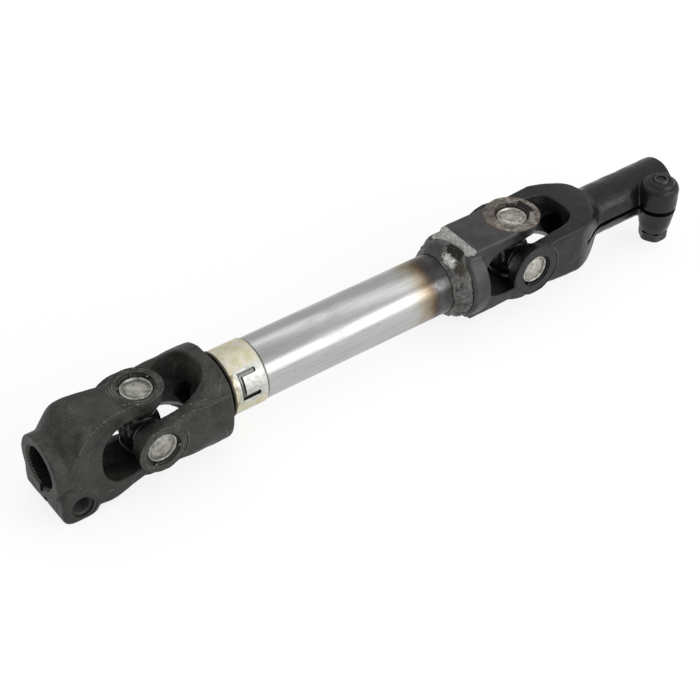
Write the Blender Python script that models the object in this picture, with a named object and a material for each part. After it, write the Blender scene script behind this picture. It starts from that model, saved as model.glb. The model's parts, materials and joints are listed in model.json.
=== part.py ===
"""Telescoping steering shaft with a cross joint and a clamp yoke at each end.

The shaft lies along X, resting on its lowest points, in metres with +Z up.
Every yoke is modelled in a fork frame: the joint centre at its origin, the ears
along Z and the body towards -X. Each is then turned and moved to its joint.
"""

import math

import bmesh
import bpy
from mathutils import Matrix, Vector

MM = 0.001

# Layout along the shaft, measured between joint centres and to the ends
JOINT_SPACING = 212.0 * MM
LEFT_CLAMP_REACH = 49.0 * MM
RIGHT_CLAMP_REACH = 101.0 * MM

# Clearances
PRESS_GAP = 0.3 * MM
RUNNING_GAP = 0.3 * MM

# Chamfers and small edges
END_EDGE = 0.9 * MM
FINE_EDGE = 0.6 * MM

# Cross and bearing cups, the same at both joints
CUP_RADIUS = 7.5 * MM
CROSS_SPAN = 40.0 * MM
CUP_LENGTH = 9.4 * MM
CUP_FLOOR = 1.1 * MM
CUP_DISH = 0.45 * MM
CUP_DISH_RADIUS = 5.9 * MM
TRUNNION_RADIUS = 5.0 * MM
ROLLER_RADIUS = 0.75 * MM
ROLLERS = 14
HUB_RADIUS = 7.4 * MM
HUB_STEP = 0.25 * MM
SEAL_RADIUS = 8.9 * MM
SEAL_LAP = 1.5 * MM
SEAL_THICKNESS = 1.6 * MM
CUP_MOUTH = CROSS_SPAN / 2 - CUP_LENGTH
HUB_REACH = CUP_MOUTH - SEAL_THICKNESS
CORE_RADIUS = 5.6 * MM
CORE_REACH = 0.97 * HUB_REACH

# Ears of the yokes
CUP_RECESS = 1.5 * MM
EAR_THICKNESS = 8.9 * MM
EAR_OUTER = CROSS_SPAN / 2 + CUP_RECESS
EAR_INNER = EAR_OUTER - EAR_THICKNESS
MOUTH_RADIUS = 8.7 * MM
LEFT_EAR_RADIUS = 12.3 * MM
LEFT_EAR_ROOT = 10.7 * MM
RIGHT_EAR_RADIUS = 14.0 * MM
RIGHT_EAR_ROOT = 11.3 * MM
OPENING_DRAFT = math.radians(16)
DRAFT_START = 7.0 * MM
RELIEF_DRAFT = math.radians(38)
RELIEF_DEPTH = 9.0 * MM

# Left clamp yoke
LEFT_RING_RADIUS = 15.6 * MM
LEFT_SHOULDER = 41.0 * MM
LEFT_ARM_HALF = 16.3 * MM
LEFT_ARM_EDGE = 1.8 * MM
LEFT_BOLT_DEPTH = 16.3 * MM
LEFT_BOLT_OFFSET = 38.4 * MM
LEFT_LUG_HALF_LENGTH = 9.3 * MM
LEFT_LUG_DROP = 25.0 * MM
LEFT_LUG_FRONT = 16.4 * MM
LEFT_LUG_BACK = 18.6 * MM
LEFT_LUG_CORNER = 5.2 * MM
LEFT_LUG_CROWN = 2.2 * MM
LEFT_SPOT_DEPTH = 1.2 * MM
LEFT_THREAD_RADIUS = 4.3 * MM
LEFT_SPOT_RADIUS = 5.4 * MM
LEFT_BORE_RADIUS = 10.6 * MM
LEFT_TOOTH_DEPTH = 0.7 * MM
LEFT_TEETH = 36
LEFT_SLIT = 3.0 * MM
BORE_CHAMFER = 0.7 * MM
LEFT_CROTCH = 24.4 * MM

# Left shaft yoke
LEFT_BASE_REACH = 36.5 * MM
LEFT_BASE_HALF = EAR_OUTER - 0.5 * FINE_EDGE
LEFT_SHAFT_CROTCH = 26.2 * MM

# Slip joint, from the left shaft yoke rightwards
TUBE_RADIUS = 15.0 * MM
TUBE_WALL = 2.5 * MM
TUBE_STEP = 0.4 * MM
TUBE_NECK_RADIUS = TUBE_RADIUS - TUBE_STEP
BUSH_WALL = 2.5 * MM
BUSH_LENGTH = 30.0 * MM
SHAFT_RADIUS = TUBE_RADIUS - TUBE_WALL - BUSH_WALL
SPLINE_DEPTH = 0.9 * MM
SPLINES = 16
SPIGOT_RADIUS = 0.8 * SHAFT_RADIUS
SPIGOT_LENGTH = 8.2 * MM
SEAL_START = LEFT_BASE_REACH + END_EDGE
COLLAR_STAND = 3.5 * MM
COLLAR_LENGTH = 18.5 * MM
COLLAR_LAP = 5.5 * MM
COLLAR_START = LEFT_BASE_REACH + COLLAR_STAND
COLLAR_END = COLLAR_START + COLLAR_LENGTH
COLLAR_WALL = 0.7 * MM
COLLAR_LIP = 0.6 * MM
TUBE_START = COLLAR_START + COLLAR_LAP
SHAFT_OVERLAP = 89.5 * MM
SHAFT_END = TUBE_START + SHAFT_OVERLAP

# Stamped slot in the collar, seen from outside
SLOT_TURN = math.radians(64)
SLOT_INSET = 4.1 * MM
SLOT_START = COLLAR_START + SLOT_INSET
SLOT_LENGTH = 10.0 * MM
SLOT_HALF_HEIGHT = 7.0 * MM
SLOT_WIDTH = 2.4 * MM

# Right shaft yoke
RIGHT_BASE_REACH = 38.8 * MM
RIGHT_BASE_LENGTH = 10.2 * MM
RIGHT_BASE_RADIUS = EAR_OUTER
RIGHT_FACE_STEP = 4.3 * MM
RIGHT_FACE_REACH = RIGHT_BASE_REACH - RIGHT_FACE_STEP
RIGHT_STRAP_HALF = 12.8 * MM
RIGHT_EDGE = 1.6 * MM
RIGHT_SPIGOT_LENGTH = 18.0 * MM
RIGHT_SHAFT_CROTCH = 24.2 * MM
WELD_LENGTH = 7.6 * MM
WELD_EDGE = 1.3 * MM
WELD_RISE = RIGHT_BASE_RADIUS - TUBE_RADIUS - WELD_EDGE
WELD_BULGE = 0.9 * MM

# Right clamp yoke
NECK_RADIUS = 12.5 * MM
RIGHT_SHOULDER = 52.0 * MM
RIGHT_ARM_HALF = 13.8 * MM
RIGHT_CROTCH = 30.5 * MM
RIGHT_BORE_RADIUS = 8.9 * MM
RIGHT_TOOTH_DEPTH = 0.6 * MM
RIGHT_TEETH = 36
RIGHT_SLIT = 2.4 * MM
RIGHT_SLIT_START = 35.0 * MM
BOSS_OFFSET = 86.0 * MM
BOSS_OUT = 16.0 * MM
BOSS_RADIUS = 9.6 * MM
BOSS_TOP = 15.4 * MM
BOSS_BOTTOM = 14.0 * MM

# Pinch bolt of the right clamp, M8
BOLT_RADIUS = 4.0 * MM
BOLT_HOLE_RADIUS = 4.4 * MM
HEAD_FLATS = 13.0 * MM
HEAD_HEIGHT = 5.3 * MM
BOLT_TIP = 0.8 * MM
BOLT_RECESS_RADIUS = 2.2 * MM

# Smoothness
ROUND_SIDES = 28
SMALL_SIDES = 20
TUBE_SIDES = 40
CORNER_STEPS = 4
TIP_STEPS = 6
SHARP_ANGLE = math.radians(35)


def clear_scene():
    for obj in list(bpy.data.objects):
        bpy.data.objects.remove(obj, do_unlink=True)


def mix(low, high, share):
    return low + (high - low) * share


def finish(name, colour, roughness, metallic):
    """A plain Principled material."""
    made = bpy.data.materials.new(name)
    made.use_nodes = True
    shader = made.node_tree.nodes["Principled BSDF"]
    shader.inputs["Base Color"].default_value = (*colour, 1.0)
    shader.inputs["Roughness"].default_value = roughness
    shader.inputs["Metallic"].default_value = metallic
    return made


def skin(name, loops, ring=False):
    """One closed body through a row of loops that have the same number of points.

    A ring joins its last loop to its first. Otherwise the end loops are capped.
    """
    work = bmesh.new()
    rows = [[work.verts.new(point) for point in loop] for loop in loops]
    following = rows[1:] + rows[:1] if ring else rows[1:]
    for near, far in zip(rows, following):
        for i in range(len(near)):
            j = (i + 1) % len(near)
            work.faces.new((near[i], near[j], far[j], far[i]))
    if not ring:
        work.faces.new(rows[0])
        work.faces.new(rows[-1])
    bmesh.ops.recalc_face_normals(work, faces=work.faces)
    mesh = bpy.data.meshes.new(name)
    work.to_mesh(mesh)
    work.free()
    mesh.shade_smooth()
    mesh.set_sharp_from_angle(angle=SHARP_ANGLE)
    made = bpy.data.objects.new(name, mesh)
    bpy.context.scene.collection.objects.link(made)
    return made


def turn(axis):
    """The rotation that carries X onto the named axis."""
    return {
        "X": Matrix.Identity(4),
        "Y": Matrix.Rotation(math.pi / 2, 4, "Z"),
        "Z": Matrix.Rotation(-math.pi / 2, 4, "Y"),
    }[axis]


def round_loop(along, radius, sides=ROUND_SIDES):
    angles = [2 * math.pi * i / sides for i in range(sides)]
    return [(along, radius * math.cos(a), radius * math.sin(a)) for a in angles]


def toothed_loop(along, outer, depth, teeth, steps=2):
    """A loop round X that dips inwards between its teeth."""
    loop = []
    for i in range(teeth * steps):
        angle = 2 * math.pi * i / (teeth * steps)
        radius = outer - depth * (1 - math.cos(teeth * angle)) / 2
        loop.append((along, radius * math.cos(angle), radius * math.sin(angle)))
    return loop


def place(loops, matrix):
    return [[matrix @ Vector(point) for point in loop] for loop in loops]


def turned(name, profile, axis="X", centre=(0, 0, 0), ring=False, sides=ROUND_SIDES):
    """A body of revolution from points of distance along the axis and radius."""
    loops = [round_loop(along, radius, sides) for along, radius in profile]
    return skin(name, place(loops, Matrix.Translation(centre) @ turn(axis)), ring)


def rounded_rectangle(
    half_wide, half_high, corner, top_taper=0.0, low_taper=0.0, low_corner=None
):
    """Points round a rectangle in Y and Z, with an arc at each corner.

    A taper narrows it from half height to its top or to its foot, as forging draft does.
    """
    arcs = {1: corner, -1: corner if low_corner is None else low_corner}
    points = []
    for quarter, (side, top) in enumerate(((1, 1), (-1, 1), (-1, -1), (1, -1))):
        for step in range(CORNER_STEPS + 1):
            angle = math.pi / 2 * (quarter + step / CORNER_STEPS)
            y = side * (half_wide - arcs[top]) + arcs[top] * math.cos(angle)
            z = top * (half_high - arcs[top]) + arcs[top] * math.sin(angle)
            taper = top_taper if top > 0 else low_taper
            points.append((y * (1 - taper * abs(z) / half_high), z))
    return points


def forging(name, sections):
    """A lofted body through sections along X.

    A section is its place, half width, half height and corner, then any tapers and a
    second corner for its foot.
    """
    loops = [
        [(along, *point) for point in rounded_rectangle(*shape)]
        for along, *shape in sections
    ]
    return skin(name, loops)


def ear_sections(half_wide, half_high, corner):
    """The rounded tip of a fork, from the joint centre outwards."""
    sections = []
    for step in range(TIP_STEPS):
        angle = math.radians(80) * step / (TIP_STEPS - 1)
        wide = half_wide * math.cos(angle)
        sections.append(
            (half_wide * math.sin(angle), wide, half_high, min(corner, 0.9 * wide))
        )
    return sections


def combine(target, other, operation):
    """Adds or takes away a helper body, which turns and moves with its target."""
    other.parent = target
    other.hide_render = True
    other.display_type = "WIRE"
    modifier = target.modifiers.new(other.name, "BOOLEAN")
    modifier.operation = operation
    modifier.solver = "EXACT"
    modifier.object = other


def join(target, other):
    combine(target, other, "UNION")


def cut(target, other):
    combine(target, other, "DIFFERENCE")


def ear_boss(name, outer_radius, inner_radius):
    """A spool along Z that becomes a drafted boss on each ear."""
    profile = [
        (-EAR_OUTER, outer_radius - FINE_EDGE),
        (-EAR_OUTER + FINE_EDGE, outer_radius),
        (-EAR_INNER, inner_radius),
        (EAR_INNER, inner_radius),
        (EAR_OUTER - FINE_EDGE, outer_radius),
        (EAR_OUTER, outer_radius - FINE_EDGE),
    ]
    return turned(name, profile, "Z")


def ear_holes(name):
    """The cup holes through both ears, each with a wider mouth outside the cup."""
    hole = CUP_RADIUS + PRESS_GAP
    far = 1.5 * EAR_OUTER
    cup_face = CROSS_SPAN / 2
    profile = [
        (-far, MOUTH_RADIUS),
        (-cup_face, MOUTH_RADIUS),
        (-cup_face, hole),
        (cup_face, hole),
        (cup_face, MOUTH_RADIUS),
        (far, MOUTH_RADIUS),
    ]
    return turned(name, profile, "Z")


def opening(name, crotch, squareness=0.8, relieved=False, steps=10):
    """The arched gap between the ears, cut along Y and wider towards both sides.

    A relieved one flares more towards -Y, down to a straight run.
    """
    far = 1.6 * EAR_OUTER
    start = 0.7 * EAR_INNER
    flare = (far - DRAFT_START) * math.tan(OPENING_DRAFT)
    if relieved:
        relief = RELIEF_DEPTH * math.tan(RELIEF_DRAFT)
        low_side = [(-far, relief), (-DRAFT_START - RELIEF_DEPTH, relief)]
    else:
        low_side = [(-far, flare)]
    loops = []
    for side, grow in (*low_side, (-DRAFT_START, 0), (DRAFT_START, 0), (far, flare)):
        high = EAR_INNER + grow
        deep = crotch + grow
        loop = [(far, side, high), (far, side, -high)]
        for step in range(steps + 1):
            angle = math.pi * (step / steps - 0.5)
            x = -start - (deep - start) * math.cos(angle) ** squareness
            rise = abs(math.sin(angle)) ** squareness
            loop.append((x, side, math.copysign(high * rise, angle)))
        loops.append(loop)
    return skin(name, loops)


def box(name, low, high):
    loops = []
    for x in (low[0], high[0]):
        loops.append(
            [
                (x, low[1], low[2]),
                (x, high[1], low[2]),
                (x, high[1], high[2]),
                (x, low[1], high[2]),
            ]
        )
    return skin(name, loops)


def serrated_bore(name, reach, end, radius, depth, teeth):
    """A toothed bore from the clamp's end face inwards, with a chamfered mouth."""
    sides = 2 * teeth
    mouth = radius + BORE_CHAMFER
    loops = [
        round_loop(-reach - END_EDGE, mouth, sides),
        round_loop(-reach, mouth, sides),
        toothed_loop(-reach + 1.5 * BORE_CHAMFER, radius, depth, teeth),
        toothed_loop(-end, radius, depth, teeth),
    ]
    return skin(name, loops)


def make_left_clamp_yoke():
    ring = LEFT_RING_RADIUS
    reach = LEFT_CLAMP_REACH
    shoulder = LEFT_SHOULDER
    crotch = LEFT_CROTCH
    arm = LEFT_ARM_HALF
    root = LEFT_EAR_ROOT
    edge = LEFT_ARM_EDGE
    rim = ring - FINE_EDGE
    top = [mix(ring, EAR_OUTER, share) for share in (0.22, 0.63, 0.88, 0.98, 0.93, 0.86)]
    sections = [
        (-reach, rim, rim, rim),
        (-reach + FINE_EDGE, ring, ring, ring),
        (-mix(shoulder, reach, 0.3), ring, ring, ring),
        (-shoulder, mix(ring, arm, 0.3), top[0], 0.9 * ring),
        (-mix(shoulder, crotch, 0.18), mix(ring, arm, 0.6), top[1], 0.64 * ring, 0.05),
        (-mix(shoulder, crotch, 0.39), mix(ring, arm, 0.9), top[2], 0.32 * ring, 0.12),
        (-mix(shoulder, crotch, 0.66), arm, top[3], 0.17 * ring, 0.18, 0.02),
        (-crotch, mix(arm, root, 0.05), top[3], edge, 0.22, -0.02),
        (-0.74 * crotch, mix(arm, root, 0.35), top[4], edge, 0.2, -0.1),
        (-0.5 * crotch, mix(arm, root, 0.78), top[5], edge, 0.1, -0.22),
        (-0.22 * crotch, mix(arm, root, 0.95), top[5], edge, 0.02, -0.18),
        *ear_sections(root, top[5], edge),
    ]
    yoke = forging("left_clamp_yoke", sections)
    join(yoke, ear_boss("left_clamp_bosses", LEFT_EAR_RADIUS, LEFT_EAR_ROOT))
    join(yoke, left_lug())
    cut(yoke, opening("left_clamp_opening", LEFT_CROTCH))
    cut(yoke, ear_holes("left_clamp_ear_holes"))
    cut(
        yoke,
        serrated_bore(
            "left_clamp_bore",
            reach,
            0.75 * LEFT_CROTCH,
            LEFT_BORE_RADIUS,
            LEFT_TOOTH_DEPTH,
            LEFT_TEETH,
        ),
    )
    half = LEFT_SLIT / 2
    low = (-1.05 * reach, -half, -1.2 * LEFT_LUG_DROP)
    high = (-0.84 * LEFT_CROTCH, half, -0.7 * LEFT_BORE_RADIUS)
    cut(yoke, box("left_clamp_slit", low, high))
    front = LEFT_LUG_FRONT - LEFT_SPOT_DEPTH
    back = LEFT_LUG_BACK - LEFT_SPOT_DEPTH
    profile = [
        (-2 * front, LEFT_SPOT_RADIUS),
        (-front, LEFT_SPOT_RADIUS),
        (-front + END_EDGE, LEFT_THREAD_RADIUS),
        (back - END_EDGE, LEFT_THREAD_RADIUS),
        (back, LEFT_SPOT_RADIUS),
        (2 * back, LEFT_SPOT_RADIUS),
    ]
    centre = (-LEFT_BOLT_OFFSET, 0, -LEFT_BOLT_DEPTH)
    cut(yoke, turned("left_clamp_bolt_hole", profile, "Y", centre, sides=24))
    return yoke


def left_lug():
    """The block under the ring that carries the bolt, rounded at both ends."""
    top = -0.4 * LEFT_RING_RADIUS
    middle = (top - LEFT_LUG_DROP) / 2
    half_high = (top + LEFT_LUG_DROP) / 2
    loops = []
    for side, share in ((-1, 1), (-1, 0.3), (-1, 0), (1, 0), (1, 0.3), (1, 1)):
        inset = share * LEFT_LUG_CROWN
        face = LEFT_LUG_FRONT if side < 0 else LEFT_LUG_BACK
        away = face - 0.9 * LEFT_LUG_CROWN * (1 - share) ** 2
        shape = rounded_rectangle(
            LEFT_LUG_HALF_LENGTH - inset, half_high - inset, LEFT_LUG_CORNER
        )
        loops.append([(-LEFT_BOLT_OFFSET + x, side * away, middle + z) for x, z in shape])
    return skin("left_clamp_lug", loops)


def make_left_shaft_yoke():
    base = LEFT_BASE_HALF
    reach = LEFT_BASE_REACH
    crotch = LEFT_SHAFT_CROTCH
    root = LEFT_EAR_ROOT
    flat = EAR_OUTER - 0.3 * FINE_EDGE
    sections = [
        (-reach, base - END_EDGE, flat - END_EDGE, 0.8 * base),
        (-reach + END_EDGE, base, flat, 0.8 * base),
        (-1.07 * crotch, base, flat, 0.78 * base),
        (-0.86 * crotch, mix(base, root, 0.25), flat, 0.64 * base),
        (-0.65 * crotch, mix(base, root, 0.62), flat, 0.4 * base),
        (-0.44 * crotch, mix(base, root, 0.86), flat, 0.21 * base),
        *ear_sections(root, EAR_OUTER - FINE_EDGE, 0.11 * base),
    ]
    yoke = forging("left_shaft_yoke", sections)
    join(yoke, ear_boss("left_shaft_bosses", LEFT_EAR_RADIUS, LEFT_EAR_ROOT))
    cut(yoke, opening("left_shaft_opening", LEFT_SHAFT_CROTCH, relieved=True))
    cut(yoke, ear_holes("left_shaft_ear_holes"))
    hole = SPIGOT_RADIUS + PRESS_GAP
    ends = [(-1.1 * reach, hole), (-0.75 * crotch, hole)]
    cut(yoke, turned("left_shaft_hole", ends))
    return yoke


def make_right_shaft_yoke():
    flat = EAR_OUTER - FINE_EDGE
    sections = [
        (-RIGHT_FACE_REACH, RIGHT_STRAP_HALF, flat, RIGHT_EDGE),
        (-0.5 * RIGHT_FACE_REACH, RIGHT_STRAP_HALF, flat, RIGHT_EDGE),
        *ear_sections(0.94 * RIGHT_STRAP_HALF, flat, RIGHT_EDGE),
    ]
    yoke = forging("right_shaft_yoke", sections)
    join(yoke, ear_boss("right_shaft_bosses", RIGHT_EAR_RADIUS, RIGHT_EAR_ROOT))
    back = -RIGHT_BASE_REACH
    front = back + RIGHT_BASE_LENGTH
    spigot = TUBE_RADIUS - TUBE_WALL - PRESS_GAP
    profile = [
        (back - RIGHT_SPIGOT_LENGTH, spigot - END_EDGE),
        (back - RIGHT_SPIGOT_LENGTH + END_EDGE, spigot),
        (back, spigot),
        (back, RIGHT_BASE_RADIUS - RIGHT_EDGE),
        (back + RIGHT_EDGE, RIGHT_BASE_RADIUS),
        (front - END_EDGE, RIGHT_BASE_RADIUS),
        (front, RIGHT_BASE_RADIUS - END_EDGE),
    ]
    join(yoke, turned("right_shaft_base", profile))
    cut(yoke, opening("right_shaft_opening", RIGHT_SHAFT_CROTCH))
    cut(yoke, ear_holes("right_shaft_ear_holes"))
    return yoke


def make_right_clamp_yoke():
    neck = NECK_RADIUS
    reach = RIGHT_CLAMP_REACH
    shoulder = RIGHT_SHOULDER
    crotch = RIGHT_CROTCH
    arm = RIGHT_ARM_HALF
    rim = neck - END_EDGE
    edge = 0.2 * neck
    draft = 0.15
    top = [mix(neck, EAR_OUTER, share) for share in (0.06, 0.32, 0.68, 0.93, 0.98, 0.94)]
    sections = [
        (-reach, rim, rim, rim),
        (-reach + END_EDGE, neck, neck, neck),
        (-shoulder, neck, neck, neck),
        (-mix(shoulder, crotch, 0.19), mix(neck, arm, 0.4), top[0], 0.35 * neck, 0, 0, rim),
        (-mix(shoulder, crotch, 0.42), mix(neck, arm, 0.8), top[1], edge, 0, 0, 0.44 * neck),
        (-mix(shoulder, crotch, 0.7), arm, top[2], edge, 0, 0, 0.24 * neck),
        (-mix(shoulder, crotch, 0.98), arm, top[3], edge),
        (-0.92 * crotch, 0.87 * arm, top[4], 0.8 * edge, -draft, -draft),
        (-0.43 * crotch, 0.74 * arm, top[5], 0.8 * edge, -2 * draft, -2 * draft),
        *ear_sections(0.8 * arm, EAR_OUTER - FINE_EDGE, 0.8 * edge),
    ]
    yoke = forging("right_clamp_yoke", sections)
    join(yoke, ear_boss("right_clamp_bosses", RIGHT_EAR_RADIUS, RIGHT_EAR_ROOT))
    boss = [
        (-BOSS_BOTTOM, 0.75 * BOSS_RADIUS),
        (-0.7 * BOSS_BOTTOM, 0.86 * BOSS_RADIUS),
        (-0.3 * BOSS_BOTTOM, 0.94 * BOSS_RADIUS),
        (0, BOSS_RADIUS),
        (0.8 * BOSS_TOP, BOSS_RADIUS),
        (0.92 * BOSS_TOP, 0.9 * BOSS_RADIUS),
        (BOSS_TOP, 0.7 * BOSS_RADIUS),
    ]
    centre = boss_centre()
    join(yoke, turned("right_clamp_boss", boss, "Y", centre))
    gap = opening("right_clamp_opening", RIGHT_CROTCH, squareness=0.6, relieved=True)
    cut(yoke, gap)
    cut(yoke, ear_holes("right_clamp_ear_holes"))
    cut(
        yoke,
        serrated_bore(
            "right_clamp_bore",
            reach,
            0.8 * crotch,
            RIGHT_BORE_RADIUS,
            RIGHT_TOOTH_DEPTH,
            RIGHT_TEETH,
        ),
    )
    half = RIGHT_SLIT / 2
    outside = BOSS_OUT + 1.5 * BOSS_RADIUS
    low = (-1.05 * reach, -half, -outside)
    high = (-RIGHT_SLIT_START, half, -0.7 * RIGHT_BORE_RADIUS)
    cut(yoke, box("right_clamp_slit", low, high))
    far = 2 * BOSS_BOTTOM
    ends = [(-far, BOLT_HOLE_RADIUS), (far, BOLT_HOLE_RADIUS)]
    cut(yoke, turned("right_clamp_bolt_hole", ends, "Y", centre, sides=24))
    return yoke


def boss_centre():
    """The pinch bolt's axis in the right clamp's fork frame."""
    return (-BOSS_OFFSET, 0, -BOSS_OUT)


def make_cross(name):
    """A forged spider: a hub along each arm, a boss across them, four ground trunnions."""
    reach = CROSS_SPAN / 2 - CUP_FLOOR - RUNNING_GAP
    edge = FINE_EDGE
    arms = []
    for axis, hub in (("Y", HUB_RADIUS), ("Z", HUB_RADIUS - HUB_STEP)):
        half = [
            (HUB_REACH - edge, hub),
            (HUB_REACH, hub - edge),
            (HUB_REACH, TRUNNION_RADIUS),
            (reach - edge, TRUNNION_RADIUS),
            (reach, TRUNNION_RADIUS - edge),
        ]
        profile = [(-along, radius) for along, radius in reversed(half)] + half
        arms.append(turned(f"{name}_{axis}", profile, axis, sides=SMALL_SIDES))
    edges = [
        (CORE_REACH - edge, CORE_RADIUS),
        (CORE_REACH, CORE_RADIUS - edge),
    ]
    profile = [(-along, radius) for along, radius in reversed(edges)] + edges
    arms.append(turned(f"{name}_X", profile, "X", sides=SMALL_SIDES))
    cross, *others = arms
    cross.name = name
    for arm in others:
        join(cross, arm)
    return cross


def make_cup(name):
    """A closed bearing cup along +X, its needle rollers standing as ridges inside."""
    sides = 2 * ROLLERS
    end = CROSS_SPAN / 2
    mouth = CUP_MOUTH
    lining = TRUNNION_RADIUS + RUNNING_GAP
    loops = [
        round_loop(end - CUP_DISH, CUP_DISH_RADIUS - CUP_DISH, sides),
        round_loop(end, CUP_DISH_RADIUS, sides),
        round_loop(end, CUP_RADIUS - FINE_EDGE, sides),
        round_loop(end - FINE_EDGE, CUP_RADIUS, sides),
        round_loop(mouth, CUP_RADIUS, sides),
        toothed_loop(mouth, lining + ROLLER_RADIUS, ROLLER_RADIUS, ROLLERS),
        toothed_loop(end - CUP_FLOOR, lining + ROLLER_RADIUS, ROLLER_RADIUS, ROLLERS),
    ]
    return skin(name, loops)


def make_cap_seal(name):
    """A rubber ring along +X that laps the cup's open end and wipes the trunnion."""
    back = HUB_REACH + RUNNING_GAP
    mouth = CUP_MOUTH
    lip = TRUNNION_RADIUS + RUNNING_GAP
    profile = [
        (back, lip),
        (back, SEAL_RADIUS),
        (mouth + SEAL_LAP, SEAL_RADIUS),
        (mouth + SEAL_LAP, CUP_RADIUS + RUNNING_GAP),
        (mouth - RUNNING_GAP, CUP_RADIUS + RUNNING_GAP),
        (mouth - RUNNING_GAP, lip),
    ]
    return turned(name, profile, ring=True, sides=SMALL_SIDES)


def make_inner_shaft():
    """The splined slip shaft, with a plain spigot for the left yoke."""
    seat = LEFT_BASE_REACH + PRESS_GAP
    sides = 2 * SPLINES
    start = seat - SPIGOT_LENGTH
    loops = [
        round_loop(start, SPIGOT_RADIUS - END_EDGE, sides),
        round_loop(start + END_EDGE, SPIGOT_RADIUS, sides),
        round_loop(seat, SPIGOT_RADIUS, sides),
        round_loop(seat, SHAFT_RADIUS, sides),
        round_loop(TUBE_START - END_EDGE, SHAFT_RADIUS, sides),
        toothed_loop(TUBE_START, SHAFT_RADIUS, SPLINE_DEPTH, SPLINES),
        toothed_loop(SHAFT_END - END_EDGE, SHAFT_RADIUS, SPLINE_DEPTH, SPLINES),
        round_loop(SHAFT_END, SHAFT_RADIUS - 1.5 * SPLINE_DEPTH, sides),
    ]
    return skin("inner_shaft", loops)


def make_outer_tube():
    """The drawn tube, necked down where the collar covers it."""
    end = JOINT_SPACING - RIGHT_BASE_REACH - PRESS_GAP
    bore = TUBE_RADIUS - TUBE_WALL
    shoulder = COLLAR_END + PRESS_GAP
    profile = [
        (TUBE_START, bore),
        (TUBE_START, TUBE_NECK_RADIUS),
        (shoulder, TUBE_NECK_RADIUS),
        (shoulder, TUBE_RADIUS),
        (end, TUBE_RADIUS),
        (end, bore),
    ]
    return turned("outer_tube", profile, ring=True, sides=TUBE_SIDES)


def make_collar():
    """The plated sleeve over the tube's end, with its rolled lip and stamped slot."""
    bore = TUBE_NECK_RADIUS + PRESS_GAP
    outer = bore + COLLAR_WALL
    profile = [
        (COLLAR_START, bore),
        (COLLAR_START, outer + 0.5 * COLLAR_LIP),
        (COLLAR_START + 0.7 * COLLAR_LIP, outer + COLLAR_LIP),
        (COLLAR_START + 2.0 * COLLAR_LIP, outer + COLLAR_LIP),
        (COLLAR_START + 3.7 * COLLAR_LIP, outer),
        (COLLAR_END, outer),
        (COLLAR_END, bore),
    ]
    collar = turned("plated_collar", profile, ring=True, sides=TUBE_SIDES)
    cut(collar, collar_slot())
    return collar


def collar_slot():
    """A bracket-shaped slot, open towards the tube, cut through the sleeve."""
    near = SLOT_START
    far = near + SLOT_LENGTH
    high = SLOT_HALF_HEIGHT
    width = SLOT_WIDTH
    outline = [
        (near, -high),
        (far, -high),
        (far, -high + width),
        (near + width, -high + width),
        (near + width, high - width),
        (far, high - width),
        (far, high),
        (near, high),
    ]
    tilt = Matrix.Rotation(SLOT_TURN, 4, "X")
    depths = (0.8 * TUBE_NECK_RADIUS, 1.3 * TUBE_RADIUS)
    loops = [[tilt @ Vector((x, y, depth)) for x, y in outline] for depth in depths]
    return skin("collar_slot", loops)


def make_slide_bush():
    start = TUBE_START + PRESS_GAP
    outer = TUBE_RADIUS - TUBE_WALL - PRESS_GAP
    bore = SHAFT_RADIUS + RUNNING_GAP
    profile = [
        (start, bore),
        (start, outer),
        (start + BUSH_LENGTH, outer),
        (start + BUSH_LENGTH, bore),
    ]
    return turned("slide_bush", profile, ring=True)


def make_slip_seal():
    """The black ring in the collar's mouth, wiping the shaft."""
    bore = SHAFT_RADIUS + RUNNING_GAP
    end = TUBE_START - PRESS_GAP
    profile = [
        (SEAL_START, bore),
        (SEAL_START, TUBE_NECK_RADIUS - END_EDGE),
        (SEAL_START + END_EDGE, TUBE_NECK_RADIUS),
        (end, TUBE_NECK_RADIUS),
        (end, bore),
    ]
    return turned("slip_seal", profile, ring=True)


def make_weld_bead():
    """The fillet weld between the tube and the right shaft yoke."""
    end = JOINT_SPACING - RIGHT_BASE_REACH - PRESS_GAP
    bore = TUBE_RADIUS + PRESS_GAP
    profile = []
    for step in range(5):
        share = step / 4
        bulge = WELD_BULGE * math.sin(math.pi * share)
        radius = mix(bore + 0.5 * WELD_BULGE, bore + WELD_RISE, share) + bulge
        profile.append((end - WELD_LENGTH * (1 - share), radius))
    profile.append((end, bore))
    profile.append((end - WELD_LENGTH, bore))
    return turned("weld_bead", profile, ring=True)


def hexagon_loop(along, flats, rounding=0.0):
    """A hexagon round X with four points to a side, its corners cut by a circle."""
    loop = []
    for side in range(6):
        middle = math.pi / 3 * side
        for step in range(4):
            swing = math.pi / 3 * (step / 4 - 0.5)
            radius = flats / 2 / math.cos(swing)
            if rounding:
                radius = min(radius, rounding)
            loop.append(
                (along, radius * math.cos(middle + swing), radius * math.sin(middle + swing))
            )
    return loop


def make_clamp_bolt():
    """The pinch bolt, its head below the boss and its tip above it, along +X."""
    seat = -BOSS_BOTTOM - PRESS_GAP
    tip = BOSS_TOP + BOLT_TIP
    sides = 24
    loops = [
        hexagon_loop(seat - HEAD_HEIGHT, HEAD_FLATS, HEAD_FLATS / 2),
        hexagon_loop(seat - 0.85 * HEAD_HEIGHT, HEAD_FLATS),
        hexagon_loop(seat, HEAD_FLATS),
        round_loop(seat, BOLT_RADIUS, sides),
        round_loop(tip - FINE_EDGE, BOLT_RADIUS, sides),
        round_loop(tip, BOLT_RADIUS - FINE_EDGE, sides),
        round_loop(tip, BOLT_RECESS_RADIUS, sides),
        round_loop(tip - 0.5 * BOLT_RECESS_RADIUS, BOLT_RECESS_RADIUS, sides),
    ]
    return skin("clamp_bolt", loops)


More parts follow.
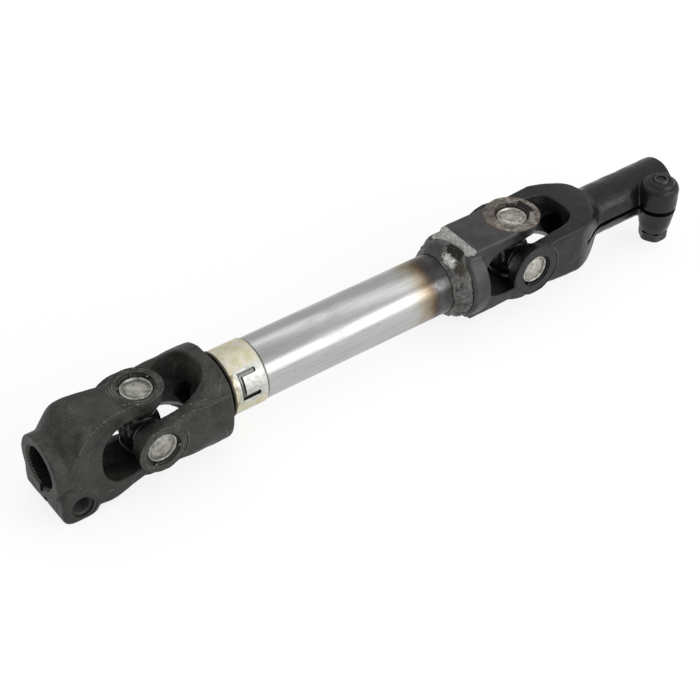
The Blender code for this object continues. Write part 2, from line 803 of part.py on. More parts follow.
def empty(name, location, parent=None):
    made = bpy.data.objects.new(name, None)
    made.location = location
    made.parent = parent
    bpy.context.scene.collection.objects.link(made)
    return made


def stand(obj, parent, matrix, look):
    """Fixes a finished piece to its joint centre and gives it its material."""
    obj.parent = parent
    obj.matrix_local = matrix
    obj.data.materials.append(look)


def fit_joint(side, centre, cross_look, cup_look, seal_look):
    """The cross, four cups and four seals of one joint."""
    cross = make_cross(side + "_cross")
    stand(cross, centre, Matrix.Identity(4), cross_look)
    directions = {
        "top": turn("Z"),
        "bottom": Matrix.Rotation(math.pi, 4, "X") @ turn("Z"),
        "back": turn("Y"),
        "front": Matrix.Rotation(math.pi, 4, "X") @ turn("Y"),
    }
    for place_name, matrix in directions.items():
        stand(make_cup(f"{side}_cup_{place_name}"), centre, matrix, cup_look)
        stand(make_cap_seal(f"{side}_seal_{place_name}"), centre, matrix, seal_look)


def main():
    clear_scene()
    phosphate = finish("black_phosphate", (0.035, 0.033, 0.031), 0.62, 0.55)
    satin = finish("dark_satin_steel", (0.10, 0.095, 0.09), 0.45, 0.8)
    paint = finish("black_paint", (0.018, 0.018, 0.019), 0.3, 0.0)
    bright = finish("bright_steel", (0.56, 0.55, 0.53), 0.3, 1.0)
    cup_steel = finish("cup_steel", (0.42, 0.40, 0.37), 0.38, 1.0)
    zinc = finish("yellow_zinc", (0.62, 0.54, 0.34), 0.3, 0.9)
    rubber = finish("black_rubber", (0.02, 0.02, 0.02), 0.75, 0.0)
    nylon = finish("white_nylon", (0.78, 0.77, 0.72), 0.5, 0.0)
    weld = finish("weld_scale", (0.16, 0.15, 0.14), 0.55, 0.7)
    bolt_black = finish("black_bolt", (0.03, 0.03, 0.032), 0.4, 0.4)

    # The origin is the middle of the footprint, on the surface that the shaft lies on
    front = max(BOSS_OUT + BOSS_RADIUS, EAR_OUTER)
    head = BOSS_BOTTOM + PRESS_GAP + HEAD_HEIGHT
    lowest = max(LEFT_LUG_DROP, EAR_OUTER, head)
    middle = (JOINT_SPACING + RIGHT_CLAMP_REACH - LEFT_CLAMP_REACH) / 2
    axis = empty("shaft_axis", (-middle, (front - EAR_OUTER) / 2, lowest))
    left = empty("left_joint_centre", (0, 0, 0), axis)
    right = empty("right_joint_centre", (JOINT_SPACING, 0, 0), axis)

    ahead = Matrix.Identity(4)
    about = Matrix.Rotation(math.pi, 4, "Z")
    sideways = about @ Matrix.Rotation(math.pi / 2, 4, "X")
    stand(make_left_clamp_yoke(), left, ahead, phosphate)
    stand(make_left_shaft_yoke(), left, sideways, phosphate)
    stand(make_right_shaft_yoke(), right, ahead, satin)
    stand(make_right_clamp_yoke(), right, sideways, paint)
    fit_joint("left", left, bright, cup_steel, rubber)
    fit_joint("right", right, bright, cup_steel, rubber)

    stand(make_inner_shaft(), left, ahead, bright)
    stand(make_outer_tube(), left, ahead, bright)
    stand(make_collar(), left, ahead, zinc)
    stand(make_slide_bush(), left, ahead, nylon)
    stand(make_slip_seal(), left, ahead, rubber)
    stand(make_weld_bead(), left, ahead, weld)
    bolt_place = Matrix.Translation((BOSS_OFFSET, -BOSS_OUT, 0)) @ turn("Z")
    stand(make_clamp_bolt(), right, bolt_place, bolt_black)


main()
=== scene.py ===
"""Looks of the telescoping steering shaft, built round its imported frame."""

import json
import math

import bmesh
import bpy
import numpy as np
from mathutils import Matrix, Vector, noise
from mathutils.bvhtree import BVHTree
from mathutils.kdtree import KDTree


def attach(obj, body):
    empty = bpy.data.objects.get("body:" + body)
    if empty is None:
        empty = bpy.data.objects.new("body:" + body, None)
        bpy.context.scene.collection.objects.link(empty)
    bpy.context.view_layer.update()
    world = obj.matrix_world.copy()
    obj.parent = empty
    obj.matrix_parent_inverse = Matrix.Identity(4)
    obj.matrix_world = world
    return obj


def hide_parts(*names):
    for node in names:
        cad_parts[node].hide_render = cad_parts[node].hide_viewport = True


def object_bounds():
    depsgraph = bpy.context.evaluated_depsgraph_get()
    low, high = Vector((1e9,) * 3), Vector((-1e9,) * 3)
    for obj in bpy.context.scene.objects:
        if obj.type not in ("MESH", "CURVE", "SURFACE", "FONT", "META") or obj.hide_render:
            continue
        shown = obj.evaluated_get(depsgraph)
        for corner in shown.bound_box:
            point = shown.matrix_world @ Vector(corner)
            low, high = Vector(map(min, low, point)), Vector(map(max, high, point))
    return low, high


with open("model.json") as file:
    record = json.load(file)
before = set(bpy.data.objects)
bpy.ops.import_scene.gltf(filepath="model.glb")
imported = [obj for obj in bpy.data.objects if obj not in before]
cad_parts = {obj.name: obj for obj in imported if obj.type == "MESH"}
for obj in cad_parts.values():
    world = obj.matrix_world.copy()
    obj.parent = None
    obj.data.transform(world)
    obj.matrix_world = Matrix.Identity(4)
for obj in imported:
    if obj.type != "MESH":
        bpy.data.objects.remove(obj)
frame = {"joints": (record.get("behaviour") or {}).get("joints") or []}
cad_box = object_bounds()

MM = 0.001
TO_MM = 1000.0
joint_at = {joint["name"]: Vector(joint["pos_m"]) for joint in frame["joints"] if "pos_m" in joint}
LEFT = joint_at["left_nod"]
RIGHT = joint_at["right_swing"]
SPAN = (RIGHT.x - LEFT.x) / MM

# The voxel size of the forged surfaces, here the fine one
FINE_VOXEL = 0.5
VOXEL = FINE_VOXEL

# Sizes in millimetres, as in the frame
CUP_RADIUS, CUP_FACE, CUP_MOUTH = 7.5, 20.0, 10.6
EAR_OUTER, EAR_INNER, MOUTH_RADIUS = 21.5, 12.6, 8.7
LEFT_EAR, LEFT_ROOT, RIGHT_EAR, RIGHT_ROOT = 12.3, 10.7, 14.0, 11.3
TUBE_RADIUS, TUBE_NECK, TUBE_BORE = 15.0, 14.6, 12.5
COLLAR_START, COLLAR_END, TUBE_START = 40.0, 58.5, 45.5
BASE_REACH, FACE_REACH, BASE_RADIUS = 38.8, 34.5, 21.5
SHAFT_RADIUS = 10.0
BOSS_OFFSET, BOSS_OUT, BOSS_RADIUS, BOSS_TOP, BOSS_BOTTOM = 86.0, 16.0, 9.6, 15.4, 14.0
BEVEL_START, BEVEL_SLOPE = 32.2, math.tan(math.radians(42))
SLOT_TURN = math.radians(65.3)
CUTTER_REACH = 34.0

AHEAD = Matrix.Identity(4)
SIDEWAYS = Matrix.Rotation(math.pi, 4, "Z") @ Matrix.Rotation(math.pi / 2, 4, "X")


# Shapes, in millimetres

def mix(low, high, share):
    return low + (high - low) * share


def add_object(name, data):
    made = bpy.data.objects.new(name, data)
    bpy.context.scene.collection.objects.link(made)
    return made


def solid(loops, ring=False):
    """A closed body through loops of points; a ring joins its last loop to its first."""
    work = bmesh.new()
    rows = [[work.verts.new(point) for point in loop] for loop in loops]
    following = rows[1:] + rows[:1] if ring else rows[1:]
    for near, far in zip(rows, following):
        for i in range(len(near)):
            j = (i + 1) % len(near)
            work.faces.new((near[i], near[j], far[j], far[i]))
    if not ring:
        work.faces.new(rows[0])
        work.faces.new(rows[-1])
    bmesh.ops.recalc_face_normals(work, faces=work.faces)
    mesh = bpy.data.meshes.new("shape")
    work.to_mesh(mesh)
    work.free()
    return add_object("shape", mesh)


def turn(axis):
    """The rotation that carries X onto the named axis."""
    return {
        "X": Matrix.Identity(4),
        "Y": Matrix.Rotation(math.pi / 2, 4, "Z"),
        "Z": Matrix.Rotation(-math.pi / 2, 4, "Y"),
    }[axis]


def polar(along, radius, angle):
    """A point at an angle round X."""
    return along, radius * math.cos(angle), radius * math.sin(angle)


def circle(along, radius, sides):
    return [polar(along, radius, 2 * math.pi * i / sides) for i in range(sides)]


def toothed(along, outer, depth, teeth, steps=6):
    """A loop round X that dips inwards between pointed teeth."""
    loop = []
    for i in range(teeth * steps):
        dip = abs((i / steps) % 1 - 0.5) * 2
        loop.append(polar(along, outer - depth * (1 - dip), 2 * math.pi * i / (teeth * steps)))
    return loop


def placed(loops, matrix):
    return [[matrix @ Vector(point) for point in loop] for loop in loops]


def turned(profile, axis="X", centre=(0, 0, 0), ring=False, sides=96):
    """A body of revolution from points of distance along the axis and radius."""
    loops = [circle(along, radius, sides) for along, radius in profile]
    return solid(placed(loops, Matrix.Translation(centre) @ turn(axis)), ring)


def mirrored(half):
    """A profile whose far side mirrors its near one."""
    return [(-along, radius) for along, radius in reversed(half)] + half


def rounded(half_wide, half_high, corner, top_taper=0.0, low_taper=0.0, low_corner=None,
            steps=8):
    """A rectangle in Y and Z with arcs at its corners, narrowed to its top and foot."""
    arcs = {1: corner, -1: corner if low_corner is None else low_corner}
    points = []
    for quarter, (side, top) in enumerate(((1, 1), (-1, 1), (-1, -1), (1, -1))):
        for step in range(steps + 1):
            angle = math.pi / 2 * (quarter + step / steps)
            y = side * (half_wide - arcs[top]) + arcs[top] * math.cos(angle)
            z = top * (half_high - arcs[top]) + arcs[top] * math.sin(angle)
            taper = top_taper if top > 0 else low_taper
            points.append((y * (1 - taper * abs(z) / half_high), z))
    return points


def flowing(loops, steps=4):
    """Adds loops between the given ones, along curves without overshoot."""
    points = np.array([[tuple(point) for point in loop] for loop in loops])
    spans = np.diff(points, axis=0)
    slopes = np.zeros_like(points)
    with np.errstate(divide="ignore", invalid="ignore"):
        mean = 2 * spans[:-1] * spans[1:] / (spans[:-1] + spans[1:])
    slopes[1:-1] = np.where(spans[:-1] * spans[1:] > 0, mean, 0.0)
    slopes[0], slopes[-1] = spans[0], spans[-1]
    made = []
    for near, far, leave, arrive in zip(points, points[1:], slopes, slopes[1:]):
        for step in range(steps):
            t = step / steps
            made.append(
                near * (1 + 2 * t) * (1 - t) ** 2 + leave * t * (1 - t) ** 2
                + far * t * t * (3 - 2 * t) + arrive * t * t * (t - 1)
            )
    made.append(points[-1])
    return [[Vector(point) for point in loop] for loop in made]


def forging(sections):
    """A lofted body through sections of place along X, then the rounded rectangle."""
    return solid(flowing([[(x, *point) for point in rounded(*shape)] for x, *shape in sections]))


def ear_tip(half_wide, half_high, corner, steps=10):
    """The rounded end of a fork, from the joint centre outwards."""
    sections = []
    for step in range(steps):
        angle = math.radians(84) * step / (steps - 1)
        wide = half_wide * math.cos(angle)
        sections.append((half_wide * math.sin(angle), wide, half_high, min(corner, 0.9 * wide)))
    return sections


def bosses(outer, inner):
    """Round bosses for the cups on both ears, joined in the middle."""
    half = [(EAR_INNER, inner), (EAR_OUTER - 0.5, outer), (EAR_OUTER, outer - 0.5)]
    return turned(mirrored(half), "Z")


def arch(crotch, squareness=0.8, relieved=False, steps=28):
    """The gap between the ears, cut along Y and flared; a relieved one more so towards -Y."""
    far, start = 34.4, 8.8
    flare = (far - 7.0) * math.tan(math.radians(16))
    relief = 9.0 * math.tan(math.radians(38))
    low_side = [(-far, relief), (-16.0, relief)] if relieved else [(-far, flare)]
    loops = []
    for side, grow in (*low_side, (-7.0, 0), (7.0, 0), (far, flare)):
        high, deep = EAR_INNER + grow, crotch + grow
        loop = [(far, side, high), (far, side, -high)]
        for step in range(steps + 1):
            angle = math.pi * (step / steps - 0.5)
            x = -start - (deep - start) * math.cos(angle) ** squareness
            rise = abs(math.sin(angle)) ** squareness
            loop.append((x, side, math.copysign(high * rise, angle)))
        loops.append(loop)
    return solid(loops)


def box(low, high):
    return solid([
        [(x, low[1], low[2]), (x, high[1], low[2]), (x, high[1], high[2]), (x, low[1], high[2])]
        for x in (low[0], high[0])
    ])


# Operations

def bake(obj):
    """Applies an object's modifiers to its mesh."""
    bpy.context.view_layer.update()
    graph = bpy.context.evaluated_depsgraph_get()
    mesh = bpy.data.meshes.new_from_object(obj.evaluated_get(graph))
    obj.modifiers.clear()
    obj.data = mesh


def combine(target, others, operation):
    """Adds or takes away bodies, then deletes them."""
    for other in others:
        modifier = target.modifiers.new("boolean", "BOOLEAN")
        modifier.operation = operation
        modifier.solver = "MANIFOLD"
        modifier.object = other
    bake(target)
    for other in others:
        bpy.data.objects.remove(other)
    return target


def soften(obj, voxel=VOXEL, rounds=4):
    """An even skin whose edges are rounded, as a forging's are."""
    remesh = obj.modifiers.new("remesh", "REMESH")
    remesh.mode = "VOXEL"
    remesh.voxel_size = voxel
    smooth = obj.modifiers.new("smooth", "SMOOTH")
    smooth.factor = 0.5
    smooth.iterations = max(1, round(rounds * (FINE_VOXEL / voxel) ** 2))
    bake(obj)


def roughen(obj, layers, seed):
    """Moves the points along their normals by noise; a layer is a size and a depth."""
    offset = Vector((seed * 17.3, seed * 5.1, seed * 11.7))
    moves = []
    for vertex in obj.data.vertices:
        move = sum(depth * noise.noise((vertex.co + offset) / size) for size, depth in layers)
        moves.append(vertex.normal * move)
    for vertex, move in zip(obj.data.vertices, moves):
        vertex.co += move


def dress(obj, name, matrix, centre, body, look, slot, sharp=32):
    """Puts a piece that is made round a joint centre in the place of the node of its name."""
    obj.name = name
    obj.data.name = name
    obj.data.transform(Matrix.Translation(centre) @ Matrix.Scale(MM, 4) @ matrix)
    for vertex in obj.data.vertices:
        for index in range(3):
            limits = cad_box[0][index], cad_box[1][index]
            vertex.co[index] = min(max(vertex.co[index], limits[0]), limits[1])
    obj.data.shade_smooth()
    obj.data.set_sharp_from_angle(angle=math.radians(sharp))
    obj.data.materials.clear()
    obj.data.materials.append(look)
    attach(obj, body)
    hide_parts(name)


# Materials

def feed(tree, socket, value):
    """Links a node's output to a socket, or writes a number or a colour into it."""
    if isinstance(value, Value):
        value = value.socket
    if isinstance(value, bpy.types.NodeSocket):
        tree.links.new(value, socket)
    else:
        socket.default_value = (*value, 1.0) if socket.type == "RGBA" else value


def add_node(tree, kind, inputs=None, **settings):
    made = tree.nodes.new(kind)
    for key, value in settings.items():
        setattr(made, key, value)
    for key, value in (inputs or {}).items():
        feed(tree, made.inputs[key], value)
    return made


def places(middle, low_mm, high_mm):
    """Two places in metres, from millimetres past a middle."""
    return middle + low_mm * MM, middle + high_mm * MM


class Value:
    """A number that varies over a material; nodes do its arithmetic."""

    def __init__(self, look, socket):
        self.look, self.socket = look, socket

    def __add__(self, other):
        return self.look.math("ADD", self, other)

    def __sub__(self, other):
        return self.look.math("SUBTRACT", self, other)

    def __mul__(self, other):
        return self.look.math("MULTIPLY", self, other)

    def __abs__(self):
        return self.look.math("ABSOLUTE", self)

    def to(self, low, high, start, end):
        """Maps low..high to start..end, smoothly and clamped."""
        inputs = {"Value": self, "From Min": low, "From Max": high, "To Min": start,
                  "To Max": end}
        made = self.look.node("ShaderNodeMapRange", inputs, interpolation_type="SMOOTHSTEP")
        return Value(self.look, made.outputs[0])

    def above(self, low, high, most=1.0):
        return self.to(low, high, 0.0, most)

    def below(self, low, high, most=1.0):
        return self.to(low, high, most, 0.0)


class Look:
    """A Principled material whose colour is painted on in layers."""

    def __init__(self, name, roughness, metallic, specular=0.5):
        self.material = bpy.data.materials.new(name)
        self.material.use_nodes = True
        self.tree = self.material.node_tree
        self.shader = self.tree.nodes["Principled BSDF"]
        for key, value in (("Roughness", roughness), ("Metallic", metallic),
                           ("Specular IOR Level", specular)):
            self.shader.inputs[key].default_value = value
        self.place = self.node("ShaderNodeTexCoord").outputs["Object"]
        parts = self.node("ShaderNodeSeparateXYZ", {"Vector": self.place}).outputs
        self.axes = {axis: Value(self, parts[axis]) for axis in "XYZ"}
        self.colour = None

    def node(self, kind, inputs=None, **settings):
        return add_node(self.tree, kind, inputs, **settings)

    def math(self, operation, first, second=0.0, clamp=False):
        made = self.node("ShaderNodeMath", {0: first, 1: second}, operation=operation,
                         use_clamp=clamp)
        return Value(self, made.outputs[0])

    def vector_math(self, operation, first, second):
        return self.node("ShaderNodeVectorMath", {0: first, 1: second},
                         operation=operation).outputs[0]

    def noise(self, size_mm, detail=3.0, roughness=0.5, scale=None, shift=None, distortion=0.0):
        """Noise from 0 to 1 whose features are about that many millimetres."""
        place = self.vector_math("ADD", self.place, shift) if shift else self.place
        if scale:
            place = self.vector_math("MULTIPLY", place, scale)
        made = self.node("ShaderNodeTexNoise", {
            "Vector": place, "Scale": 1 / (size_mm * MM), "Detail": detail,
            "Roughness": roughness, "Distortion": distortion})
        return Value(self, made.outputs["Fac"])

    def ramp(self, value, stops):
        made = self.node("ShaderNodeValToRGB", {"Fac": value})
        elements = made.color_ramp.elements
        while len(elements) < len(stops):
            elements.new(0.5)
        for element, (position, colour) in zip(elements, stops):
            element.position = position
            element.color = (*colour, 1.0)
        return made.outputs["Color"]

    def blend(self, share, first, second, mode="MIX"):
        made = self.node("ShaderNodeMix", data_type="RGBA", blend_type=mode)
        for index, value in ((0, share), (6, first), (7, second)):
            feed(self.tree, made.inputs[index], value)
        return made.outputs[2]

    def shade(self, share, dark, light):
        """Starts the colour, from dark to light."""
        self.colour = self.ramp(share, [(0.0, dark), (1.0, light)])

    def paint(self, share, tone):
        """Lays a tone over the colour so far."""
        self.colour = self.blend(share, self.colour, tone)

    def lines(self, size_mm, width, share, seed=0.0):
        """Thin wandering scratches that break off here and there."""
        shift = (seed, 2 * seed, seed)
        gap = abs(self.noise(size_mm, 0.0, 0.4, shift=shift) - 0.5)
        broken = self.noise(0.2 * size_mm, 2.0, 0.6, shift=shift).above(share, share + 0.06)
        return gap.below(0.3 * width, width) * broken

    def recess(self, reach_mm=12.0):
        """How closed in the surface is: a mask for painted shade in hollows."""
        made = self.node("ShaderNodeAmbientOcclusion", {"Distance": reach_mm * MM}, samples=8)
        return Value(self, made.outputs["AO"]).below(0.3, 0.85)

    def away(self, centre, spot_mm, stretch=(1.0, 1.0, 1.0)):
        """Distance in millimetres from a spot near a joint centre."""
        gap = self.vector_math("SUBTRACT", self.place, tuple(centre + Vector(spot_mm) * MM))
        scaled = self.vector_math("MULTIPLY", gap, tuple(TO_MM * part for part in stretch))
        made = self.node("ShaderNodeVectorMath", {0: scaled}, operation="LENGTH")
        return Value(self, made.outputs["Value"])

    def bump(self, height, distance_mm, strength, normal=None):
        inputs = {"Height": height, "Distance": distance_mm * MM, "Strength": strength}
        if normal:
            inputs["Normal"] = normal
        return self.node("ShaderNodeBump", inputs).outputs[0]

    def finish(self, normal, roughness=None):
        """Feeds the shader with the painted colour and the rest."""
        inputs = {"Base Color": self.colour, "Normal": normal}
        if roughness:
            inputs["Roughness"] = roughness
        for key, value in inputs.items():
            feed(self.tree, self.shader.inputs[key], value)
        return self.material


def distance_from_axis(look, centre, first, second):
    """Distance in millimetres from a line through a centre, from two of its axes."""
    squares = [look.math("POWER", (look.axes[axis] - centre["XYZ".index(axis)]) * TO_MM, 2.0)
               for axis in (first, second)]
    return look.math("SQRT", squares[0] + squares[1])


def tool_marks(look, centre, first, second, face):
    """Broken arcs left by the spot facer on the flat round a cup."""
    radius = distance_from_axis(look, centre, first, second)
    third = ({"X", "Y", "Z"} - {first, second}).pop()
    height = abs(look.axes[third] - centre["XYZ".index(third)])
    turns = look.math("SINE", radius * 4.8 + look.noise(6.0, 2.0) * 9.0)
    arcs = turns.above(0.5, 0.9) * look.noise(3.4, 4.0, 0.6).above(0.46, 0.56)
    band = radius.above(8.6, 8.9) * radius.below(12.6, 13.4)
    return arcs * band * height.above(*places(0.0, face, face + 0.1))


def forged_look(name, dark, light, roughness, specular, grain, edge_wear_and_highlight, scratch=0.4, recess_shade=0.85,
                reach=16.0, tooled=()):
    """Black finish on a forging: cloudy tone, grain, scratches, paler edges that are partly wear
    and partly a painted highlight, and painted shade in recesses.
    """
    look = Look(name, roughness, 0.0, specular)
    cloud = look.noise(7.0, 5.0, 0.6)
    speck = look.noise(0.7, 4.0, 0.7)
    tone = cloud * 0.5 + speck * 0.5
    look.shade(tone.above(0.36, 0.64), dark, light)
    # Paler edges: partly wear, partly a painted highlight where edges catch the light
    edge = Value(look, look.node("ShaderNodeNewGeometry").outputs["Pointiness"])
    pale = tuple(min(1.0, 5 * part) for part in light)
    look.paint(edge.above(0.53, 0.60) * speck.above(0.4, 0.6) * edge_wear_and_highlight, pale)
    marks = look.math("MAXIMUM", look.lines(34.0, 0.0022, 0.5), look.lines(22.0, 0.003, 0.54, 0.03))
    marks = look.math("MAXIMUM", marks, speck.above(0.71, 0.76))
    for flat in tooled:
        marks = look.math("MAXIMUM", marks, tool_marks(look, *flat))
    look.paint(marks * scratch, pale)
    # Painted shade: the colour goes near black in recesses, by ambient occlusion
    look.paint(look.recess(reach) * recess_shade, (0.0025, 0.0025, 0.0025))
    fine = look.bump(look.noise(0.5, 3.0, 0.6), grain, 0.6)
    coarse = look.bump(look.noise(2.4, 4.0, 0.6), 2.5 * grain, 0.5, fine)
    return look.finish(coarse, cloud.to(0.3, 0.7, roughness - 0.08, roughness + 0.1))


def shaft_look():
    """Ground steel, with painted shade on the end that sits in the yoke."""
    look = Look("ground_steel", 0.28, 1.0)
    tone = look.noise(3.0, 5.0, 0.65).above(0.35, 0.65)
    look.shade(tone, (0.45, 0.45, 0.44), (0.62, 0.61, 0.59))
    # Painted shade: the end inside the yoke is painted near black
    look.paint(look.axes["X"].below(*places(LEFT.x, 32.0, 36.0)), (0.012, 0.012, 0.011))
    rough = look.noise(1.2, 4.0).to(0.3, 0.7, 0.20, 0.38)
    return look.finish(look.bump(look.noise(0.6, 4.0, 0.6), 0.03, 0.5), rough)


def tube_look():
    """Drawn bare tube, with fine lengthwise lines, stains and heat colours by the weld."""
    look = Look("drawn_tube", 0.3, 1.0)
    lines = look.noise(0.6, 3.0, 0.6, (0.03, 1.0, 1.0))
    stain = look.noise(9.0, 6.0, 0.6, (0.4, 1.0, 1.0))
    spots = look.noise(1.3, 3.0, 0.6, (0.3, 1.0, 1.0))
    look.shade(lines.above(0.3, 0.7), (0.54, 0.54, 0.535), (0.64, 0.64, 0.635))
    look.paint(stain.above(0.54, 0.70, 0.3), (0.40, 0.40, 0.40))
    look.paint(spots.above(0.69, 0.74, 0.7), (0.16, 0.15, 0.14))
    before_weld = look.math("SUBTRACT", LEFT.x + 166.0 * MM, look.axes["X"]) * TO_MM
    wave = (look.noise(11.0, 3.0) - 0.5) * 11.0
    heat = look.math("DIVIDE", before_weld + wave, 26.0, clamp=True)
    tint = look.ramp(heat, [
        (0.0, (0.10, 0.098, 0.095)), (0.12, (0.13, 0.125, 0.12)), (0.23, (0.20, 0.20, 0.205)),
        (0.34, (0.16, 0.14, 0.13)), (0.46, (0.32, 0.225, 0.15)), (0.58, (0.62, 0.51, 0.37)),
        (0.70, (0.80, 0.73, 0.62)), (0.82, (0.90, 0.87, 0.81)), (1.0, (1.0, 1.0, 1.0))])
    look.colour = look.blend(1.0, look.colour, tint, "MULTIPLY")
    flash = look.away(LEFT, (157.0, -12.0, 9.5), (0.8, 1.0, 1.0)).below(1.0, 4.5, 0.4)
    look.paint(flash * look.noise(2.4, 4.0).above(0.35, 0.6), (0.33, 0.335, 0.35))
    sooty = look.away(LEFT, (159.0, -5.5, 13.6), (0.5, 0.6, 1.0)).below(1.0, 4.5, 0.75)
    look.paint(sooty, (0.045, 0.042, 0.048))
    # Painted shade in the step just past the collar's end
    look.paint(look.axes["X"].below(*places(LEFT.x, 58.9, 59.5), 0.85), (0.12, 0.115, 0.105))
    return look.finish(look.bump(lines, 0.015, 0.5), stain.to(0.4, 0.75, 0.26, 0.38))


def zinc_look():
    """Pale yellow chromate over zinc, with clouds, a bare patch round the slot and stains, and
    painted shade at its ends and inside.
    """
    look = Look("yellow_zinc_plating", 0.45, 0.8)
    cloud = look.noise(5.0, 5.0, 0.6)
    look.colour = (0.85, 0.81, 0.63)
    look.paint(cloud.above(0.42, 0.62, 0.85), (0.73, 0.70, 0.46))
    pink = look.noise(4.5, 4.0, 0.6, (1.3, 1.1, 0.9))
    look.paint(pink.above(0.5, 0.68, 0.8), (0.88, 0.80, 0.73))
    pale = look.noise(3.4, 5.0, 0.65, (0.9, 1.3, 1.2))
    look.paint(pale.above(0.52, 0.66, 0.7), (0.84, 0.85, 0.78))
    y, z = ((look.axes[axis] - middle) * TO_MM for axis, middle in (("Y", LEFT.y), ("Z", LEFT.z)))
    cosine, sine = math.cos(SLOT_TURN), math.sin(SLOT_TURN)
    aside = abs(y * cosine + z * sine)
    outward = z * cosine - y * sine
    ahead = abs((look.axes["X"] - (LEFT.x + 51.6 * MM)) * 800.0)
    wobble = (look.noise(3.0, 3.0) - 0.5) * 2.4
    reach = look.math("MAXIMUM", aside * 0.84, ahead) + wobble
    streaks = look.noise(2.0, 5.0, 0.65)
    silver = look.ramp(streaks, [(0.36, (0.52, 0.56, 0.52)), (0.58, (0.83, 0.84, 0.81))])
    look.paint(reach.below(6.1, 7.4, 0.9) * outward.above(6.0, 9.0), silver)
    burn = look.noise(5.0, 5.0, 0.65, (1.0, 0.8, 0.8))
    near = look.axes["X"].below(*places(LEFT.x, 41.0, 46.0))
    look.paint(near * burn.above(0.48, 0.6) * 0.75, (0.17, 0.11, 0.06))
    # Painted shade on the collar's last half millimetre, at its step down to the tube
    look.paint(look.axes["X"].above(*places(LEFT.x, 57.9, 58.35), 0.8), (0.14, 0.13, 0.11))
    # Painted shade: the lip's front face is painted near black, widening the shaded band by the
    # seal
    look.paint(look.axes["X"].below(*places(LEFT.x, 40.9, 41.5), 0.92), (0.016, 0.014, 0.011))
    # Painted shade on the collar's inner face and the slot's walls
    inside = distance_from_axis(look, LEFT, "Y", "Z").below(15.2, 15.45, 0.85)
    look.paint(inside, (0.05, 0.048, 0.045))
    return look.finish(look.bump(look.noise(1.8, 4.0), 0.08, 0.5),
                       cloud.to(0.35, 0.65, 0.40, 0.52))


def weld_look():
    """Scale on the bead: grey and brown crusts, a bright patch, painted glints and painted shade in
    hollows.
    """
    look = Look("weld_bead_scale", 0.42, 0.7)
    look.colour = look.ramp(look.noise(2.6, 6.0, 0.7), [
        (0.34, (0.018, 0.017, 0.015)), (0.43, (0.086, 0.084, 0.078)), (0.52, (0.17, 0.17, 0.17)),
        (0.58, (0.145, 0.127, 0.10)), (0.64, (0.25, 0.245, 0.235)), (0.72, (0.56, 0.55, 0.52))])
    look.paint(look.noise(6.0, 3.0).above(0.52, 0.64, 0.35), (0.11, 0.125, 0.14))
    stripes = look.noise(0.45, 2.0, 0.6, (0.35, 1.0, 1.0))
    silver = look.ramp(stripes, [(0.36, (0.24, 0.24, 0.23)), (0.6, (0.80, 0.79, 0.74))])
    dark = look.away(LEFT, (167.0, 5.0, 16.5), (1.0, 0.7, 1.0))
    look.paint(dark.below(4.0, 6.5, 0.75), (0.075, 0.075, 0.078))
    patches = (
        ((168.6, -6.2, 16.8), (1.25, 0.6, 0.8), 2.0, 5.0, (5.2, 5.6, 1.0), silver),
        ((173.6, -4.5, 18.6), (1.0, 0.7, 0.7), 1.6, 5.0, (5.6, 6.2, 0.95), (0.015, 0.014, 0.010)),
        ((170.5, -11.5, 13.5), (1.0, 0.7, 0.8), 1.2, 4.0, (4.2, 5.6, 0.8), (0.055, 0.046, 0.030)),
    )
    for spot, stretch, size, ragged, limits, tone in patches:
        edge = look.away(LEFT, spot, stretch) + look.noise(size, 5.0, 0.65) * ragged
        look.paint(edge.below(*limits), tone)
    # Painted glints: small bright specks standing in for highlights
    look.paint(look.noise(0.7, 4.0, 0.7).above(0.66, 0.7, 0.8), (0.62, 0.61, 0.57))
    # Painted shade in the bead's hollows, by ambient occlusion
    look.paint(look.recess(4.0) * 0.85, (0.012, 0.010, 0.008))
    rough = look.noise(1.0, 4.0).to(0.3, 0.7, 0.25, 0.6)
    return look.finish(look.bump(look.noise(0.8, 5.0, 0.7), 0.35, 0.9), rough)


